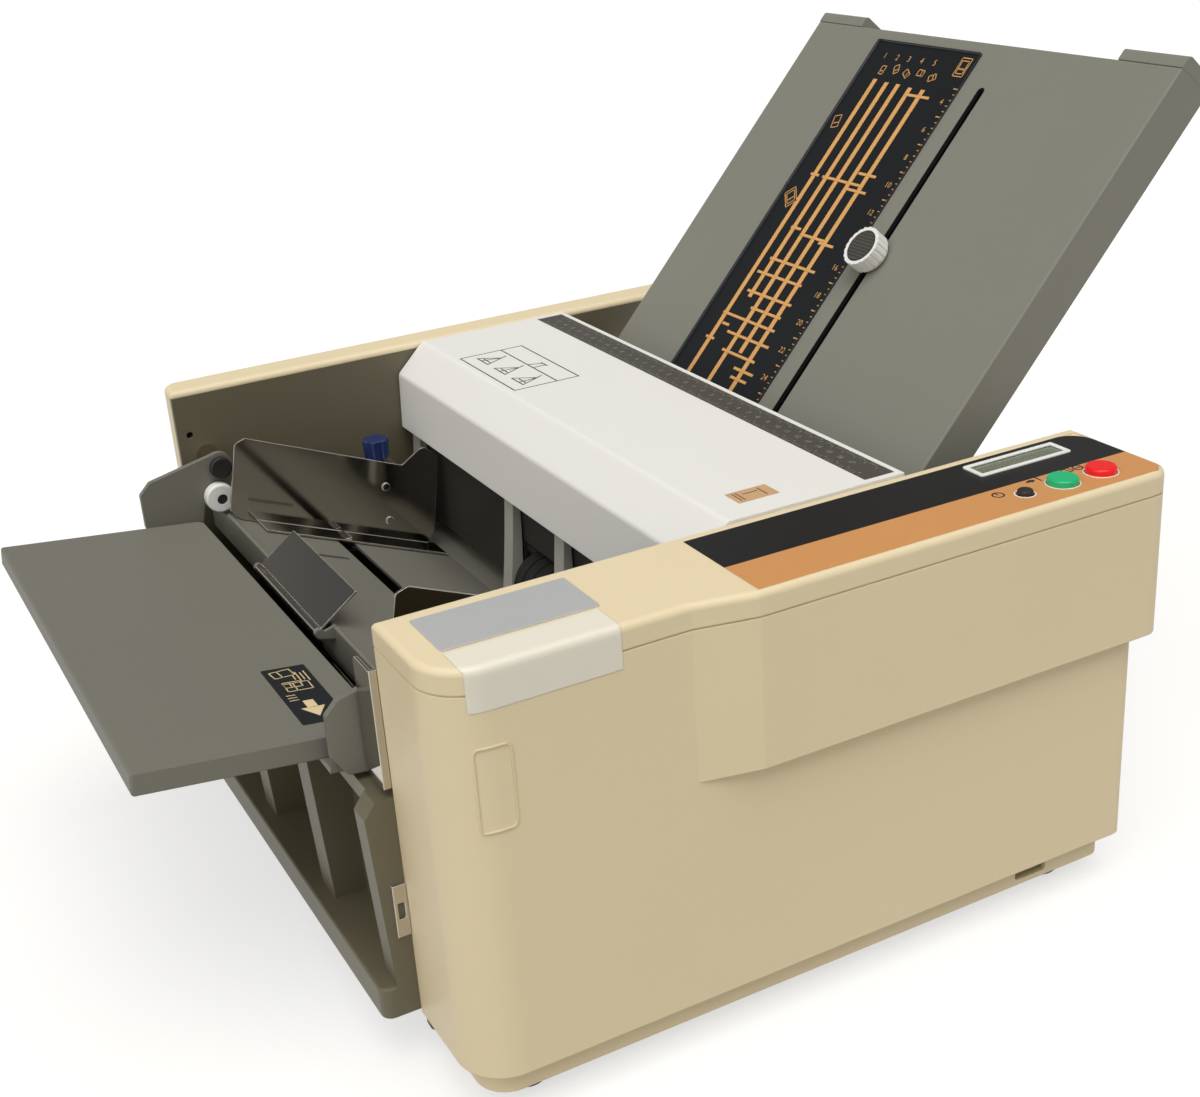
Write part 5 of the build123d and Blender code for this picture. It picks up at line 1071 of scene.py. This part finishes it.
STICKER_LEFT, STICKER_RIGHT = -192 * MM, -117 * MM
STICKER_REAR = -217 * MM
STICKER_LOW = 220 * MM
FRONT = -238 * MM            # front face of the housing
sticker_white = coated("sticker_white", from_screen(237, 231, 216), 0.36, drift=0.03, depth=0.03, rub=0.0)
nothing_selected()
bpy.ops.mesh.primitive_grid_add(x_subdivisions=60, y_subdivisions=18, size=1)
sticker = bpy.context.object
sticker.scale = (STICKER_RIGHT - STICKER_LEFT, STICKER_REAR - FRONT, 1)
sticker.location = ((STICKER_LEFT + STICKER_RIGHT) / 2, (STICKER_REAR + FRONT) / 2, lid_top)
put_place_in_mesh(sticker)
choose(sticker, "EDGE", lambda edge: all(abs(sticker.data.vertices[index].co.y - FRONT) < 0.1 * MM
                                         for index in edge.vertices))
STICKER_STEPS = 18
for step in range(STICKER_STEPS):
    bpy.ops.mesh.extrude_region_move(
        TRANSFORM_OT_translate={"value": (0, 0, (STICKER_LOW - lid_top) / STICKER_STEPS)})
bpy.ops.object.mode_set(mode="OBJECT")
laid_on_shell(sticker, 0.12 * MM)
modified(sticker, "SOLIDIFY", thickness=0.1 * MM, offset=1)
bpy.ops.object.shade_smooth_by_angle(angle=radians(40))
dressed("housing_sticker", [sticker], sticker_white, "machine_frame")
print("sticker:", len(sticker.data.polygons), "faces")

# %% Moulded outline on the front
OUTLINE_MIDDLE = (-182.5 * MM, FRONT, 181.5 * MM)
nothing_selected()
bpy.ops.mesh.primitive_plane_add(size=1, location=OUTLINE_MIDDLE, rotation=(pi / 2, 0, 0))
outline = bpy.context.object
outline.scale = (19 * MM, 43 * MM, 1)
put_place_in_mesh(outline)
bpy.ops.object.mode_set(mode="EDIT")
bpy.ops.mesh.select_all(action="SELECT")
bpy.ops.mesh.bevel(offset=3.5 * MM, segments=6, affect="VERTICES")
bpy.ops.mesh.select_all(action="SELECT")
bpy.ops.mesh.inset(thickness=1.1 * MM, depth=0)
bpy.ops.mesh.delete(type="FACE")
bpy.ops.mesh.select_all(action="SELECT")
bpy.ops.mesh.subdivide(number_cuts=3)
bpy.ops.object.mode_set(mode="OBJECT")
laid_on_shell(outline, 0.02 * MM)
modified(outline, "SOLIDIFY", thickness=0.55 * MM, offset=1)
bpy.ops.object.shade_smooth_by_angle(angle=radians(40))
dressed("housing_outline", [outline], finishes["cream_paint"], "machine_frame")
print("outline:", len(outline.data.vertices), "points")

# %% Put the copy of the shells away
select_alone(shells)
bpy.ops.object.delete()
